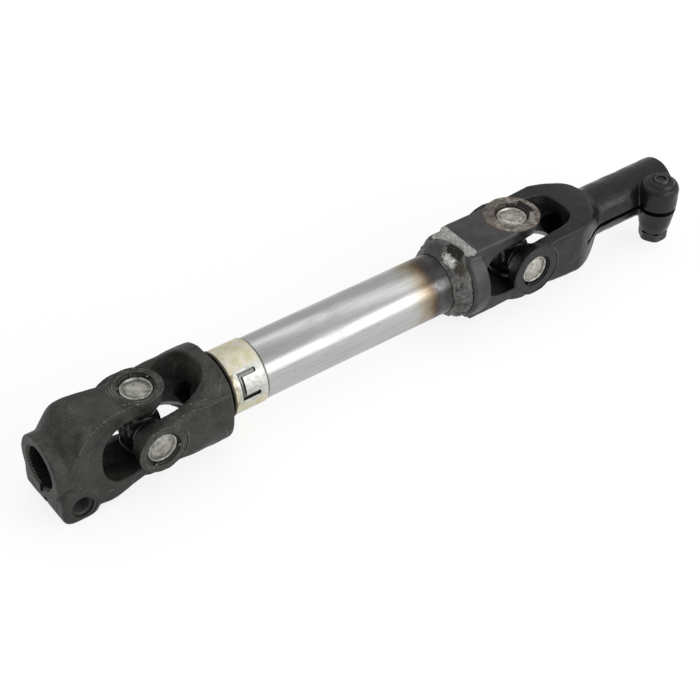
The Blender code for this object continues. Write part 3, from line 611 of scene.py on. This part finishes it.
def shaft_yoke_look():
    """Dark satin forging with tan spot faces round the cups, ground edges and painted shade in
    recesses.
    """
    look = Look("satin_forging", 0.42, 0.55)
    cloud = look.noise(8.0, 5.0, 0.6)
    look.shade(cloud.above(0.35, 0.65), (0.060, 0.060, 0.062), (0.095, 0.093, 0.095))
    look.paint(look.noise(0.8, 4.0, 0.7).above(0.62, 0.75, 0.4), (0.2, 0.19, 0.18))
    radius = distance_from_axis(look, RIGHT, "X", "Y")
    height = abs(look.axes["Z"] - RIGHT.z)
    ring = radius + (look.noise(5.0, 3.0) - 0.5) * 1.6
    halo = ring.below(14.0, 17.5, 0.6) * height.above(*places(0.0, 19.5, 20.5))
    look.paint(halo, (0.10, 0.075, 0.065))
    tan = look.ramp(look.noise(2.6, 6.0, 0.65), [
        (0.36, (0.11, 0.092, 0.074)), (0.5, (0.23, 0.205, 0.175)), (0.64, (0.44, 0.415, 0.37))])
    purple = look.away(RIGHT, (-8.0, 7.0, 21.4)).below(3.0, 11.0, 0.6)
    tan = look.blend(purple, tan, (0.10, 0.075, 0.07))
    nicks = look.noise(0.9, 3.0, 0.6).above(0.64, 0.68)
    tan = look.blend(nicks, tan, (0.02, 0.018, 0.016))
    crumbs = look.away(RIGHT, (8.9, 0.8, 21.2), (1.3, 0.6, 1.0)) + look.noise(1.3, 4.0, 0.6) * 4.0
    tan = look.blend(crumbs.below(5.0, 5.4), tan, (0.010, 0.009, 0.008))
    band = radius.above(8.5, 8.75) * radius.below(14.3, 14.6)
    look.paint(height.above(*places(0.0, 21.12, 21.17)) * band, tan)
    slope = (look.axes["X"] - (RIGHT.x - BEVEL_START * MM)) * BEVEL_SLOPE
    plane = abs(height - slope - (EAR_OUTER - 0.6) * MM)
    before = look.axes["X"].below(*places(RIGHT.x, -BEVEL_START - 0.15, -BEVEL_START + 0.05))
    ragged = (look.noise(1.8, 4.0) - 0.5) * (3.0 * MM)
    lower = look.axes["X"] + ragged + (look.axes["Y"] - RIGHT.y) * 0.26
    ground = plane.below(*places(0.0, 0.1, 0.2)) * before
    ground *= lower.above(*places(RIGHT.x, -38.1, -37.7))
    ground *= look.axes["Y"].above(*places(RIGHT.y, -13.6, -13.2))
    hatch = look.noise(0.55, 3.0, 0.6, (1.0, 0.25, 1.0))
    bright = look.ramp(hatch, [(0.34, (0.30, 0.30, 0.285)), (0.62, (0.70, 0.69, 0.66))])
    look.paint(ground, bright)
    scale = look.axes["X"].below(*places(RIGHT.x, -38.5, -38.2), 0.9)
    look.paint(scale * look.noise(1.4, 5.0, 0.7).above(0.42, 0.52), (0.018, 0.016, 0.012))
    # Painted shade in recesses, by ambient occlusion
    look.paint(look.recess() * 0.8, (0.004, 0.004, 0.004))
    fine = look.bump(look.noise(0.5, 3.0, 0.6), 0.05, 0.5)
    coarse = look.bump(look.noise(2.6, 4.0, 0.6), 0.12, 0.5, fine)
    return look.finish(coarse, cloud.to(0.3, 0.7, 0.36, 0.5))


def cup_look(name, dark, light):
    """Turned and stained steel of the bearing cups, with painted shade in their grooves."""
    look = Look(name, 0.36, 1.0)
    cloud = look.noise(3.2, 6.0, 0.65, distortion=0.8)
    look.shade(cloud.above(0.34, 0.66), dark, light)
    look.paint(look.noise(0.7, 4.0, 0.6).above(0.62, 0.72, 0.5), (0.10, 0.09, 0.08))
    # Painted shade in the grooves, by ambient occlusion
    look.paint(look.recess(1.6) * 0.9, (0.035, 0.032, 0.028))
    return look.finish(look.bump(look.noise(0.9, 4.0, 0.6), 0.06, 0.5),
                       cloud.to(0.3, 0.7, 0.28, 0.46))


def moulded_look(name, roughness, specular, cloud, dark, light, grain, depth, strength):
    """Rubber or plastic with a faint cloud and a fine grain."""
    look = Look(name, roughness, 0.0, specular)
    look.colour = look.ramp(look.noise(*cloud), [(0.3, dark), (0.7, light)])
    return look.finish(look.bump(look.noise(grain), depth, strength))


PHOSPHATE = forged_look(
    "forged_phosphate", (0.014, 0.0135, 0.012), (0.070, 0.068, 0.060), roughness=0.46,
    specular=0.4, grain=0.15, edge_wear_and_highlight=0.8, scratch=0.45, recess_shade=0.9, reach=30.0,
    tooled=((LEFT, "X", "Y", 20.6), (LEFT, "X", "Z", 20.6)))
PAINT = forged_look(
    "forged_black_paint", (0.008, 0.008, 0.0083), (0.014, 0.014, 0.0143), roughness=0.3,
    specular=0.42, grain=0.06, edge_wear_and_highlight=0.5, scratch=0.35, tooled=((RIGHT, "X", "Z", 20.8),))
SPIDER = forged_look(
    "spider_forging", (0.016, 0.0155, 0.015), (0.034, 0.033, 0.031), roughness=0.3,
    specular=0.5, grain=0.06, edge_wear_and_highlight=0.4, scratch=0.3, recess_shade=0.6)
BOLT = forged_look(
    "bolt_black", (0.014, 0.014, 0.015), (0.028, 0.028, 0.029), roughness=0.4, specular=0.5,
    grain=0.03, edge_wear_and_highlight=0.5)
SATIN = shaft_yoke_look()
TUBE = tube_look()
ZINC = zinc_look()
WELD = weld_look()
BRIGHT = shaft_look()
LEFT_CUP = cup_look("left_cup_steel", (0.24, 0.235, 0.215), (0.56, 0.55, 0.50))
RIGHT_CUP = cup_look("right_cup_steel", (0.36, 0.35, 0.315), (0.72, 0.70, 0.63))
RUBBER = moulded_look("seal_rubber", 0.2, 0.5, (2.0, 4.0), (0.010, 0.010, 0.010),
                      (0.022, 0.021, 0.020), 0.6, 0.04, 0.4)
NYLON = moulded_look("bush_nylon", 0.5, 0.4, (4.0, 3.0), (0.70, 0.68, 0.62),
                     (0.80, 0.79, 0.74), 0.8, 0.03, 0.3)


# Yokes

def cup_holes():
    """Both cup holes, with a wider mouth outside the cups."""
    hole = CUP_RADIUS + 0.25
    face = CUP_FACE - 0.1
    half = [(face, hole), (face, MOUTH_RADIUS - 0.5), (face + 0.6, MOUTH_RADIUS - 0.1),
            (CUTTER_REACH, MOUTH_RADIUS)]
    return turned(mirrored(half), "Z")


def spot_faces(radius, height):
    """Cutters that mill the outside of both ears flat round the holes."""
    return [turned([(side * height, radius), (side * CUTTER_REACH, radius)], "Z")
            for side in (-1, 1)]


def stakes(angles, seed):
    """Dabs of metal that are punched over the cups' edges."""
    made = []
    for side in (-1, 1):
        for index, degrees in enumerate(angles):
            angle = math.radians(degrees + 9 * noise.noise(Vector((seed, index, side))))
            spin = Matrix.Rotation(angle, 4, "Z")
            wide = 1.5 + 0.3 * noise.noise(Vector((index, seed, side)))
            loops = []
            for radius, half, low, high in ((7.65, 0.5, 19.2, 20.7), (8.2, 0.9, 19.2, 20.95),
                                            (9.4, 1.0, 19.2, 20.9)):
                half *= wide / 1.5
                low, high = sorted((side * low, side * high))
                loops.append([(radius, -half, low), (radius, half, low),
                              (radius, 0.7 * half, high), (radius, -0.7 * half, high)])
            made.append(solid(placed(loops, spin)))
    return made


def bore(reach, end, radius, depth, teeth):
    """A serrated bore along X with a chamfer at its open end."""
    loops = [circle(-reach - 2, radius + 0.9, teeth * 6), circle(-reach, radius + 0.6, teeth * 6),
             toothed(-reach + 1.0, radius, depth, teeth), toothed(-end, radius, depth, teeth)]
    return solid(loops)


def threaded_hole(centre, front, back, radius, spot, pitch=1.25):
    profile = [(-front - 9, spot), (-front + 1.2, spot)]
    start, end = -front + 1.3, back - 1.3
    turns = round((end - start) / pitch)
    for i in range(turns + 1):
        place = mix(start, end, i / turns)
        profile.append((place, radius + 0.35))
        if i < turns:
            profile.append((place + pitch / 2, radius - 0.35))
    profile += [(back - 1.2, spot), (back + 9, spot)]
    return turned(profile, "Y", centre, sides=48)


def raise_lines(obj, courses):
    """Adds the thin ridge that the dies' parting leaves, along courses near the surface."""
    radius, high, reach, spacing, rounds, sides = 0.42, 0.35, 1.4, 0.5, 12, 8
    mesh = obj.data
    skin = BVHTree.FromPolygons([vertex.co for vertex in mesh.vertices],
                                [face.vertices for face in mesh.polygons])
    threads, path = [], []
    for course in courses:
        spots = []
        for start, end in zip(course, course[1:]):
            steps = round((end - start).length / spacing)
            spots += [skin.find_nearest(start.lerp(end, step / steps))[0]
                      for step in range(steps)]
        for _ in range(rounds):
            inner = [(a + 2 * b + c) / 4 for a, b, c in zip(spots, spots[1:], spots[2:])]
            spots = [spots[0], *inner, spots[-1]]
        path += spots
        loops = []
        for index, spot in enumerate(spots):
            ahead = spots[min(index + 1, len(spots) - 1)] - spots[max(index - 1, 0)]
            spin = ahead.to_track_quat("X", "Z").to_matrix()
            share = index / (len(spots) - 1)
            thick = radius * (0.15 + 0.85 * math.sin(math.pi * share) ** 0.5)
            thick *= 1 + 0.5 * noise.noise(spot / 1.5)
            loops.append([spot + spin @ Vector(spoke) for spoke in circle(0, thick, sides)])
        threads.append(solid(loops))
    near = KDTree(len(path))
    for index, spot in enumerate(path):
        near.insert(spot, index)
    near.balance()
    moves = []
    for vertex in mesh.vertices:
        share = min(near.find(vertex.co)[2] / reach, 1.0)
        moves.append(vertex.normal * high * (1 - share * share) ** 2)
    for vertex, move in zip(mesh.vertices, moves):
        vertex.co += move
    for thread in threads:
        for vertex in thread.data.vertices:
            vertex.co += 0.6 * high * skin.find_nearest(vertex.co)[1]
    combine(obj, threads, "UNION")


def finish_yoke(rough, centre, matrix, name, cuts, stake_angles, seed, parting=(), **rest):
    """Rounds a rough forging, then machines it and stakes its cups."""
    soften(rough)
    roughen(rough, ((6.0, 0.16), (2.2, 0.07)), seed)
    if parting:
        to_local = matrix.inverted()
        raise_lines(rough, [[to_local @ Vector(point) for point in course]
                            for course in parting])
    combine(rough, cuts, "DIFFERENCE")
    combine(rough, stakes(stake_angles, seed), "UNION")
    dress(rough, name, matrix, centre, **rest)


def left_clamp():
    ring, reach, crotch, shoulder, arm, root = 15.6, 49.0, 24.4, 41.0, 16.3, LEFT_ROOT
    top = [mix(ring, EAR_OUTER, share) for share in (0.22, 0.63, 0.88, 0.98, 0.93, 0.86)]
    body = forging([
        (-reach, ring - 0.3, ring - 0.3, ring - 0.3),
        (-reach + 0.5, ring, ring, ring),
        (-mix(shoulder, reach, 0.3), ring, ring, ring),
        (-shoulder, mix(ring, arm, 0.3), top[0], 0.9 * ring),
        (-mix(shoulder, crotch, 0.18), mix(ring, arm, 0.6), top[1], 0.64 * ring, 0.05),
        (-mix(shoulder, crotch, 0.39), mix(ring, arm, 0.9), top[2], 0.32 * ring, 0.14),
        (-mix(shoulder, crotch, 0.66), arm, top[3], 0.17 * ring, 0.22, 0.02),
        (-crotch, mix(arm, root, 0.05), top[3], 1.8, 0.26, -0.02),
        (-0.74 * crotch, mix(arm, root, 0.35), top[4], 1.8, 0.24, -0.08),
        (-0.5 * crotch, mix(arm, root, 0.78), top[5], 1.8, 0.14, -0.2),
        (-0.22 * crotch, mix(arm, root, 0.95), top[5], 1.8, 0.04, -0.16),
        *ear_tip(root, top[5], 1.8),
    ])
    lug_at, lug_front, lug_back, seat = -38.4, 16.4, 18.6, 7.2
    lug = []
    for side, share in ((-1, 1), (-1, 0.3), (-1, 0), (1, 0), (1, 0.3), (1, 1)):
        inset = 2.2 * share
        away = (lug_front if side < 0 else lug_back) - 2.0 * (1 - share) ** 2
        shape = rounded(9.3 - inset, 9.38 - inset, 5.2)
        lug.append([(lug_at + x, side * away, -15.62 + z) for x, z in shape])
    combine(body, [bosses(LEFT_EAR, LEFT_ROOT), solid(lug)], "UNION")
    combine(body, [arch(crotch)], "DIFFERENCE")
    hole = (lug_at, 0, -16.3)
    cuts = [
        cup_holes(), *spot_faces(11.7, 21.2),
        box((-reach - 9, -30, -40), (-reach, 30, 40)),
        bore(reach, 0.75 * crotch, 10.6, 0.7, 48),
        box((-55, -1.5, -30), (-0.84 * crotch, 1.5, -7.4)),
        threaded_hole(hole, lug_front, lug_back, 4.3, 5.4),
        turned([(-40, seat), (-16.1, seat)], "Y", hole),
        turned([(18.3, seat), (40, seat)], "Y", hole),
    ]
    parting = [[(-42.5, -14.6, 4.0), (-37.9, -14.9, 12.5), (-35.2, -14.4, 16.3),
                (-30.6, -13.6, 19.4), (-24.6, -11.9, 21.1), (-16.5, -10.0, 20.9),
                (-7.3, -9.9, 21.2)]]
    finish_yoke(body, LEFT, AHEAD, "left_clamp_yoke", cuts, (20, 75, 155, 250), 1, parting,
                body="left_clamp", look=PHOSPHATE, slot="black_phosphate")


def left_shaft_yoke():
    base, reach, crotch, root, flat = 21.2, 36.5, 26.2, LEFT_ROOT, 21.32
    body = forging([
        (-reach, base - 0.9, flat - 0.9, 0.8 * base),
        (-reach + 0.9, base, flat, 0.8 * base),
        (-1.07 * crotch, base, flat, 0.78 * base),
        (-0.86 * crotch, mix(base, root, 0.25), flat, 0.6 * base),
        (-0.65 * crotch, mix(base, root, 0.62), flat, 0.3 * base),
        (-0.44 * crotch, mix(base, root, 0.86), flat, 0.14 * base),
        *ear_tip(root, EAR_OUTER - 0.6, 2.0),
    ])
    combine(body, [bosses(LEFT_EAR, LEFT_ROOT)], "UNION")
    combine(body, [arch(crotch, relieved=True)], "DIFFERENCE")
    cuts = [cup_holes(), *spot_faces(11.9, 21.1), turned([(-45, 8.3), (-19.6, 8.3)])]
    parting = [
        [(6.0, -19.6, 10.6), (14.1, -18.7, 12.0), (19.8, -19.3, 11.7), (25.8, -19.5, 11.6),
         (31.8, -19.7, 11.4), (36.0, -19.8, 11.0)],
        [(9.0, -15.6, 12.4), (14.1, -16.3, 13.1), (21.1, -17.4, 14.2), (34.3, -18.4, 13.2)],
    ]
    finish_yoke(body, LEFT, SIDEWAYS, "left_shaft_yoke", cuts, (15, 100, 190, 300), 2, parting,
                body="slip_shaft", look=PHOSPHATE, slot="black_phosphate")


def right_shaft_yoke():
    flat, strap = EAR_OUTER - 0.6, 12.8
    body = forging([
        (-FACE_REACH, strap, flat, 1.6), (-0.5 * FACE_REACH, strap, flat, 1.6),
        *ear_tip(0.94 * strap, flat, 1.6),
    ])
    back, front, spigot = -BASE_REACH, -BASE_REACH + 10.2, 12.2
    base = turned([
        (back - 18, spigot - 0.9), (back - 17.1, spigot), (back, spigot),
        (back, BASE_RADIUS - 1.6), (back + 1.6, BASE_RADIUS), (front - 0.9, BASE_RADIUS),
        (front, BASE_RADIUS - 0.9),
    ])
    combine(body, [bosses(RIGHT_EAR, RIGHT_ROOT), base], "UNION")
    combine(body, [arch(24.2)], "DIFFERENCE")
    bevels = []
    low = flat - (BASE_REACH + 0.2 - BEVEL_START) * BEVEL_SLOPE
    for side in (-1, 1):
        outline = [(-18, flat), (-BEVEL_START, flat), (-BASE_REACH - 0.2, low),
                   (-BASE_REACH - 0.2, 40), (-18, 40)]
        bevels.append(solid([[(x, y, side * z) for x, z in outline] for y in (-26, 26)]))
    cuts = [cup_holes(), *spot_faces(13.9, 21.2), *bevels]
    finish_yoke(body, RIGHT, AHEAD, "right_shaft_yoke", cuts, (35, 60, 190, 290), 3,
                body="tube_body", look=SATIN, slot="dark_satin_steel")


def right_clamp():
    neck, reach, shoulder, crotch, arm = 12.5, 101.0, 52.0, 30.5, 13.8
    edge, draft = 0.2 * neck, 0.15
    top = [mix(neck, EAR_OUTER, share) for share in (0.06, 0.32, 0.68, 0.93, 0.98, 0.94)]
    body = forging([
        (-reach, neck - 0.9, neck - 0.9, neck - 0.9),
        (-reach + 0.9, neck, neck, neck),
        (-shoulder, neck, neck, neck),
        (-mix(shoulder, crotch, 0.19), mix(neck, arm, 0.4), top[0], 0.35 * neck, 0, 0, 11.6),
        (-mix(shoulder, crotch, 0.42), mix(neck, arm, 0.8), top[1], edge, 0, 0, 0.44 * neck),
        (-mix(shoulder, crotch, 0.7), arm, top[2], edge, 0, 0, 0.24 * neck),
        (-mix(shoulder, crotch, 0.98), arm, top[3], edge),
        (-0.92 * crotch, 0.87 * arm, top[4], 0.8 * edge, -draft, -draft),
        (-0.43 * crotch, 0.74 * arm, top[5], 0.8 * edge, -2 * draft, -2 * draft),
        *ear_tip(0.8 * arm, EAR_OUTER - 0.6, 0.8 * edge),
    ])
    centre = (-BOSS_OFFSET, 0, -BOSS_OUT)
    boss = turned([
        (-BOSS_BOTTOM, 0.75 * BOSS_RADIUS), (-0.7 * BOSS_BOTTOM, 0.86 * BOSS_RADIUS),
        (-0.3 * BOSS_BOTTOM, 0.94 * BOSS_RADIUS), (0, BOSS_RADIUS),
        (0.72 * BOSS_TOP, BOSS_RADIUS), (0.86 * BOSS_TOP, 0.9 * BOSS_RADIUS),
        (0.9 * BOSS_TOP, 0.72 * BOSS_RADIUS), (BOSS_TOP, 0.66 * BOSS_RADIUS),
    ], "Y", centre)
    combine(body, [bosses(RIGHT_EAR, RIGHT_ROOT), boss], "UNION")
    combine(body, [arch(crotch, 0.6, relieved=True)], "DIFFERENCE")
    cuts = [
        cup_holes(), *spot_faces(13.2, 21.2),
        bore(reach, 0.8 * crotch, 8.9, 0.6, 36),
        box((-110, -1.2, -40), (-35.0, 1.2, -6.2)),
        turned([(-30, 4.4), (30, 4.4)], "Y", centre, sides=48),
    ]
    finish_yoke(body, RIGHT, SIDEWAYS, "right_clamp_yoke", cuts, (20, 110, 200, 300), 4,
                body="right_clamp", look=PAINT, slot="black_paint")


# Joints

def cup():
    """A drawn cup along +X: raised rim, groove and a low dome in the middle."""
    depths = [(0.3, 0.02), (0.33, 2.0), (0.40, 3.9), (0.52, 5.0), (0.85, 5.45), (0.85, 5.95),
              (0.2, 6.2), (0, 6.45), (0, 6.95), (0.12, 7.25), (0.5, CUP_RADIUS)]
    wall, inner, floor = CUP_FACE - CUP_MOUTH, 6.1, 1.1
    depths += [(wall, CUP_RADIUS), (wall, inner), (floor, inner), (floor, 0.02)]
    return turned([(CUP_FACE - depth, radius) for depth, radius in depths])


def cap_seal():
    """A rubber ring along +X with a rounded lip over the cup's open end."""
    profile = [(9.3, 5.3), (9.3, 8.1), (9.5, 8.6), (10.0, 8.9), (11.2, 8.9), (11.8, 8.75),
               (12.1, 8.3), (12.1, 7.8), (10.3, 7.8), (10.3, 5.3)]
    return turned(profile, ring=True)


def spider():
    """A forged cross: a hub along each arm, a boss across them, trunnions."""
    hub, pin = mirrored([(5, 7.4), (8.2, 7.1), (8.6, 6.6)]), mirrored([(18.0, 5.0), (18.6, 4.4)])
    first, second = (turned(hub, axis, sides=64) for axis in "YZ")
    core = turned(mirrored([(8.2, 5.6), (8.73, 4.9)]), sides=64)
    combine(first, [second, core], "UNION")
    soften(first, FINE_VOXEL, rounds=6)
    pins = [turned(pin, axis, sides=64) for axis in "YZ"]
    dimple = turned([(-9.2, 2.6), (-8.2, 1.6), (-7.4, 0.3)], sides=48)
    combine(first, pins, "UNION")
    return combine(first, [dimple], "DIFFERENCE")


def fit_joint(side, centre, cup_material, ear_body, cross_body, clamp_body):
    dress(spider(), side + "_cross", AHEAD, centre, cross_body, SPIDER, "bright_steel")
    upright, across = (clamp_body, ear_body) if side == "left" else (ear_body, clamp_body)
    flip = Matrix.Rotation(math.pi, 4, "X")
    ways = (("top", turn("Z"), upright), ("bottom", flip @ turn("Z"), upright),
            ("back", turn("Y"), across), ("front", flip @ turn("Y"), across))
    for where, matrix, body in ways:
        dress(cup(), f"{side}_cup_{where}", matrix, centre, body, cup_material, "cup_steel")
        dress(cap_seal(), f"{side}_seal_{where}", matrix, centre, cross_body, RUBBER,
              "black_rubber")


# Middle of the shaft

def inner_shaft():
    teeth = 16
    sides = teeth * 6
    loops = [circle(28.6, 7.1, sides), circle(29.5, 8.0, sides), circle(36.8, 8.0, sides),
             circle(36.8, SHAFT_RADIUS, sides), circle(44.6, SHAFT_RADIUS, sides),
             toothed(45.5, SHAFT_RADIUS, 0.9, teeth), toothed(134.0, SHAFT_RADIUS, 0.9, teeth),
             circle(135.0, 8.6, sides)]
    dress(solid(loops), "inner_shaft", AHEAD, LEFT, "slip_shaft", BRIGHT, "bright_steel")


def outer_tube():
    end = SPAN - BASE_REACH - 0.3
    shoulder = COLLAR_END + 0.3
    profile = [(TUBE_START, TUBE_BORE), (TUBE_START, TUBE_NECK), (shoulder, TUBE_NECK),
               (shoulder, TUBE_RADIUS - 0.15), (shoulder + 0.3, TUBE_RADIUS), (end, TUBE_RADIUS),
               (end, TUBE_BORE)]
    dress(turned(profile, ring=True, sides=160), "outer_tube", AHEAD, LEFT, "tube_body", TUBE,
          "bright_steel")


def collar():
    """The plated sleeve, slightly out of true, with its lip, slot and rolled edge."""
    inner, outer, lip_end = 14.9, 15.6, 42.4
    stations = [(COLLAR_START, outer + 0.15), (40.2, outer + 0.5), (40.8, outer + 0.6),
                (41.4, outer + 0.5), (lip_end, outer + 0.1)]
    stations += [(lip_end + step, outer) for step in range(1, 16)]
    stations += [(58.2, outer), (COLLAR_END, outer - 0.2)]
    profile = [(COLLAR_START, inner), *stations, (COLLAR_END, inner)]
    sleeve = turned(profile, ring=True, sides=160)
    for vertex in sleeve.data.vertices:
        spoke = Vector((0, vertex.co.y, vertex.co.z))
        if spoke.length > outer - 0.3:
            dent = noise.noise(vertex.co / 5.0 + Vector((3.1, 0, 0)))
            vertex.co += spoke.normalized() * 0.09 * dent
    near, far, high, width = 44.7, 54.2, 6.6, 2.2
    outline = [(near, -high), (far - 0.5, -high), (far, -high + 0.6), (far, -high + width - 0.6),
               (far - 0.5, -high + width), (near + width, -high + width),
               (near + width, high - width), (far - 0.5, high - width), (far, high - width + 0.6),
               (far, high - 0.6), (far - 0.5, high), (near, high)]
    tilt = Matrix.Rotation(SLOT_TURN, 4, "X")
    loops = [[tilt @ Vector((x, y, depth)) for x, y in outline] for depth in (11.7, 19.5)]
    combine(sleeve, [solid(loops)], "DIFFERENCE")
    dress(sleeve, "plated_collar", AHEAD, LEFT, "tube_body", ZINC, "yellow_zinc")


def small_rings():
    seal = [(37.4, 10.3), (37.4, 13.6), (37.8, 14.3), (38.4, 14.6), (45.2, 14.6), (45.2, 10.3)]
    dress(turned(seal, ring=True), "slip_seal", AHEAD, LEFT, "tube_body", RUBBER, "black_rubber")
    bush = [(45.8, 10.3), (45.8, 12.2), (75.8, 12.2), (75.8, 10.3)]
    dress(turned(bush, ring=True), "slide_bush", AHEAD, LEFT, "tube_body", NYLON, "white_nylon")


def weld_bead():
    """A hand-laid fillet with faint ripples, lumps and a wandering toe."""
    end = SPAN - BASE_REACH - 0.3
    around, across = 300, 20
    loops = []
    for i in range(around):
        angle = 2 * math.pi * i / around
        spin = Vector((math.cos(angle), math.sin(angle), 0))
        toe = 7.9 + 2.0 * noise.noise(spin * 2.3)
        rise = 4.4 + 0.9 * noise.noise(spin * 3.1 + Vector((7, 0, 0)))
        ripple = 0.07 * math.sin(46 * angle + 2.0 * noise.noise(spin * 4))
        climb = 3.2 * math.exp(-((math.degrees(angle) - 113) / 24) ** 2)
        climb += 0.7 * math.exp(-((math.degrees(angle) - 70) / 20) ** 2)
        loop = []
        for step in range(across + 1):
            share = step / across
            x = end - toe * (1 - share) + climb * share
            bulge = math.sin(math.pi * share)
            spot = Vector((x, 15 * spin.x, 15 * spin.y))
            lump, crumb = noise.noise(spot / 1.9), noise.noise(spot / 0.8)
            radius = TUBE_RADIUS + 0.35 + rise * share
            radius += bulge * (0.8 + ripple + 0.95 * lump + 0.28 * crumb)
            loop.append(polar(x, radius, angle))
        loops.append(loop + [polar(x, TUBE_RADIUS + 0.1, angle) for x in (end, end - toe)])
    dress(solid(loops, ring=True), "weld_bead", AHEAD, LEFT, "tube_body", WELD, "weld_scale",
          sharp=60)


def hexagon(along, limit, flats=13.0, steps=8):
    """A loop round X with six flats, whose corners are cut to a radius."""
    loop = []
    for i in range(6 * steps):
        angle = 2 * math.pi * i / (6 * steps)
        swing = (angle + math.pi / 6) % (math.pi / 3) - math.pi / 6
        loop.append(polar(along, min(flats / 2 / math.cos(swing), limit), angle))
    return loop


def clamp_bolt():
    seat, tip, sides = -BOSS_BOTTOM - 0.3, BOSS_TOP + 0.8, 48
    head = [(5.3, 5.6), (5.25, 6.1), (4.9, 6.9), (4.3, 7.35), (0.5, 7.45), (0.5, 6.4), (0, 6.4)]
    loops = [hexagon(seat - height, limit) for height, limit in head]
    loops.append(circle(seat, 4.0, sides))
    for i in range(11):
        place = mix(2.0, tip - 1.2, i / 10)
        loops += [circle(place, 4.0, sides), circle(place + 0.65, 3.6, sides)]
    loops += [circle(tip - 0.5, 3.8, sides), circle(tip, 3.4, sides), circle(tip, 2.5, sides),
              circle(tip - 0.9, 2.3, sides), circle(tip - 1.0, 0.6, sides)]
    matrix = Matrix.Translation((BOSS_OFFSET, -BOSS_OUT, 0)) @ turn("Z")
    dress(solid(loops), "clamp_bolt", matrix, RIGHT, "right_clamp", BOLT, "black_bolt")


left_clamp()
left_shaft_yoke()
right_shaft_yoke()
right_clamp()
fit_joint("left", LEFT, LEFT_CUP, "slip_shaft", "left_spider", "left_clamp")
fit_joint("right", RIGHT, RIGHT_CUP, "tube_body", "right_spider", "right_clamp")
inner_shaft()
outer_tube()
collar()
small_rings()
weld_bead()
clamp_bolt()


# Camera, solved on the photograph

AZIMUTH, ELEVATION, ROLL = math.radians(-38.132), math.radians(41.401), math.radians(1.904)
DISTANCE, LENS = 830.306 * MM, 90.556
target = LEFT + Vector((115.602, 0, -17.276)) * MM
backward = Vector((math.sin(AZIMUTH) * math.cos(ELEVATION),
                   -math.cos(AZIMUTH) * math.cos(ELEVATION), math.sin(ELEVATION)))
level = Vector((math.cos(AZIMUTH), math.sin(AZIMUTH), 0))
above = backward.cross(level)
rightward = level * math.cos(ROLL) + above * math.sin(ROLL)
upward = above * math.cos(ROLL) - level * math.sin(ROLL)
lens = bpy.data.cameras.new("photo_camera")
lens.lens = LENS
lens.sensor_width = 36
lens.sensor_fit = "HORIZONTAL"
camera = add_object("photo_camera", lens)
axes = Matrix((rightward, upward, backward)).transposed().to_4x4()
camera.matrix_world = Matrix.Translation(target + DISTANCE * backward) @ axes
bpy.context.scene.camera = camera


# Floor, light and world

def white_for_camera(tree, diffuse_colour, glow, mirror_glow):
    """A diffuse surface that also glows for camera, glossy and transmission rays."""
    tree.nodes.clear()
    rays = add_node(tree, "ShaderNodeLightPath").outputs
    mirrored = add_node(tree, "ShaderNodeMath", {0: rays["Is Glossy Ray"],
                                                 1: rays["Is Transmission Ray"]},
                        operation="MAXIMUM").outputs[0]
    seen = add_node(tree, "ShaderNodeMath", {0: rays["Is Camera Ray"], 1: glow},
                    operation="MULTIPLY").outputs[0]
    strength = add_node(tree, "ShaderNodeMath", {0: mirrored, 1: mirror_glow, 2: seen},
                        operation="MULTIPLY_ADD").outputs[0]
    diffuse = add_node(tree, "ShaderNodeBsdfDiffuse", {"Color": diffuse_colour}).outputs[0]
    emission = add_node(tree, "ShaderNodeEmission", {"Strength": strength}).outputs[0]
    both = add_node(tree, "ShaderNodeAddShader", {0: diffuse, 1: emission}).outputs[0]
    add_node(tree, "ShaderNodeOutputMaterial", {"Surface": both})


floor_material = bpy.data.materials.new("studio_floor")
floor_material.use_nodes = True
white_for_camera(floor_material.node_tree, (0.25, 0.25, 0.25), glow=0.82, mirror_glow=0.62)
floor_mesh = bpy.data.meshes.new("studio_floor")
half = 4.0
floor_mesh.from_pydata([(-half, -half, 0), (half, -half, 0), (half, half, 0), (-half, half, 0)],
                       [], [(0, 1, 2, 3)])
floor_mesh.materials.append(floor_material)
studio_floor = add_object("studio_floor", floor_mesh)


def softbox(name, place, size, power):
    """A rectangular lamp that faces the middle of the shaft."""
    data = bpy.data.lights.new(name, "AREA")
    data.shape = "RECTANGLE"
    data.size, data.size_y = size
    data.energy = power
    lamp = add_object(name, data)
    lamp.location = place
    aim = Vector((0.0, 0.0, 0.03)) - Vector(place)
    lamp.rotation_euler = aim.to_track_quat("-Z", "Y").to_euler()


softbox("front_box", (0.45, -1.15, 0.62), (1.9, 0.75), 8.5)
softbox("top_box", (0.35, 0.17, 1.25), (1.9, 0.42), 1.9)

# The object is lit by the weaker glow, and the camera sees white
world = bpy.data.worlds.new("studio")
bpy.context.scene.world = world
world.use_nodes = True
wires = world.node_tree
wires.nodes.clear()
surroundings, backdrop = (
    add_node(wires, "ShaderNodeBackground", {"Color": (1.0, 1.0, 1.0), "Strength": strength})
    for strength in (0.55, 1.0)
)
rays = add_node(wires, "ShaderNodeLightPath")
choice = add_node(wires, "ShaderNodeMixShader", {0: rays.outputs["Is Camera Ray"],
                                                 1: surroundings.outputs[0],
                                                 2: backdrop.outputs[0]})
add_node(wires, "ShaderNodeOutputWorld", {"Surface": choice.outputs[0]})

bpy.context.scene.view_settings.view_transform = "Standard"
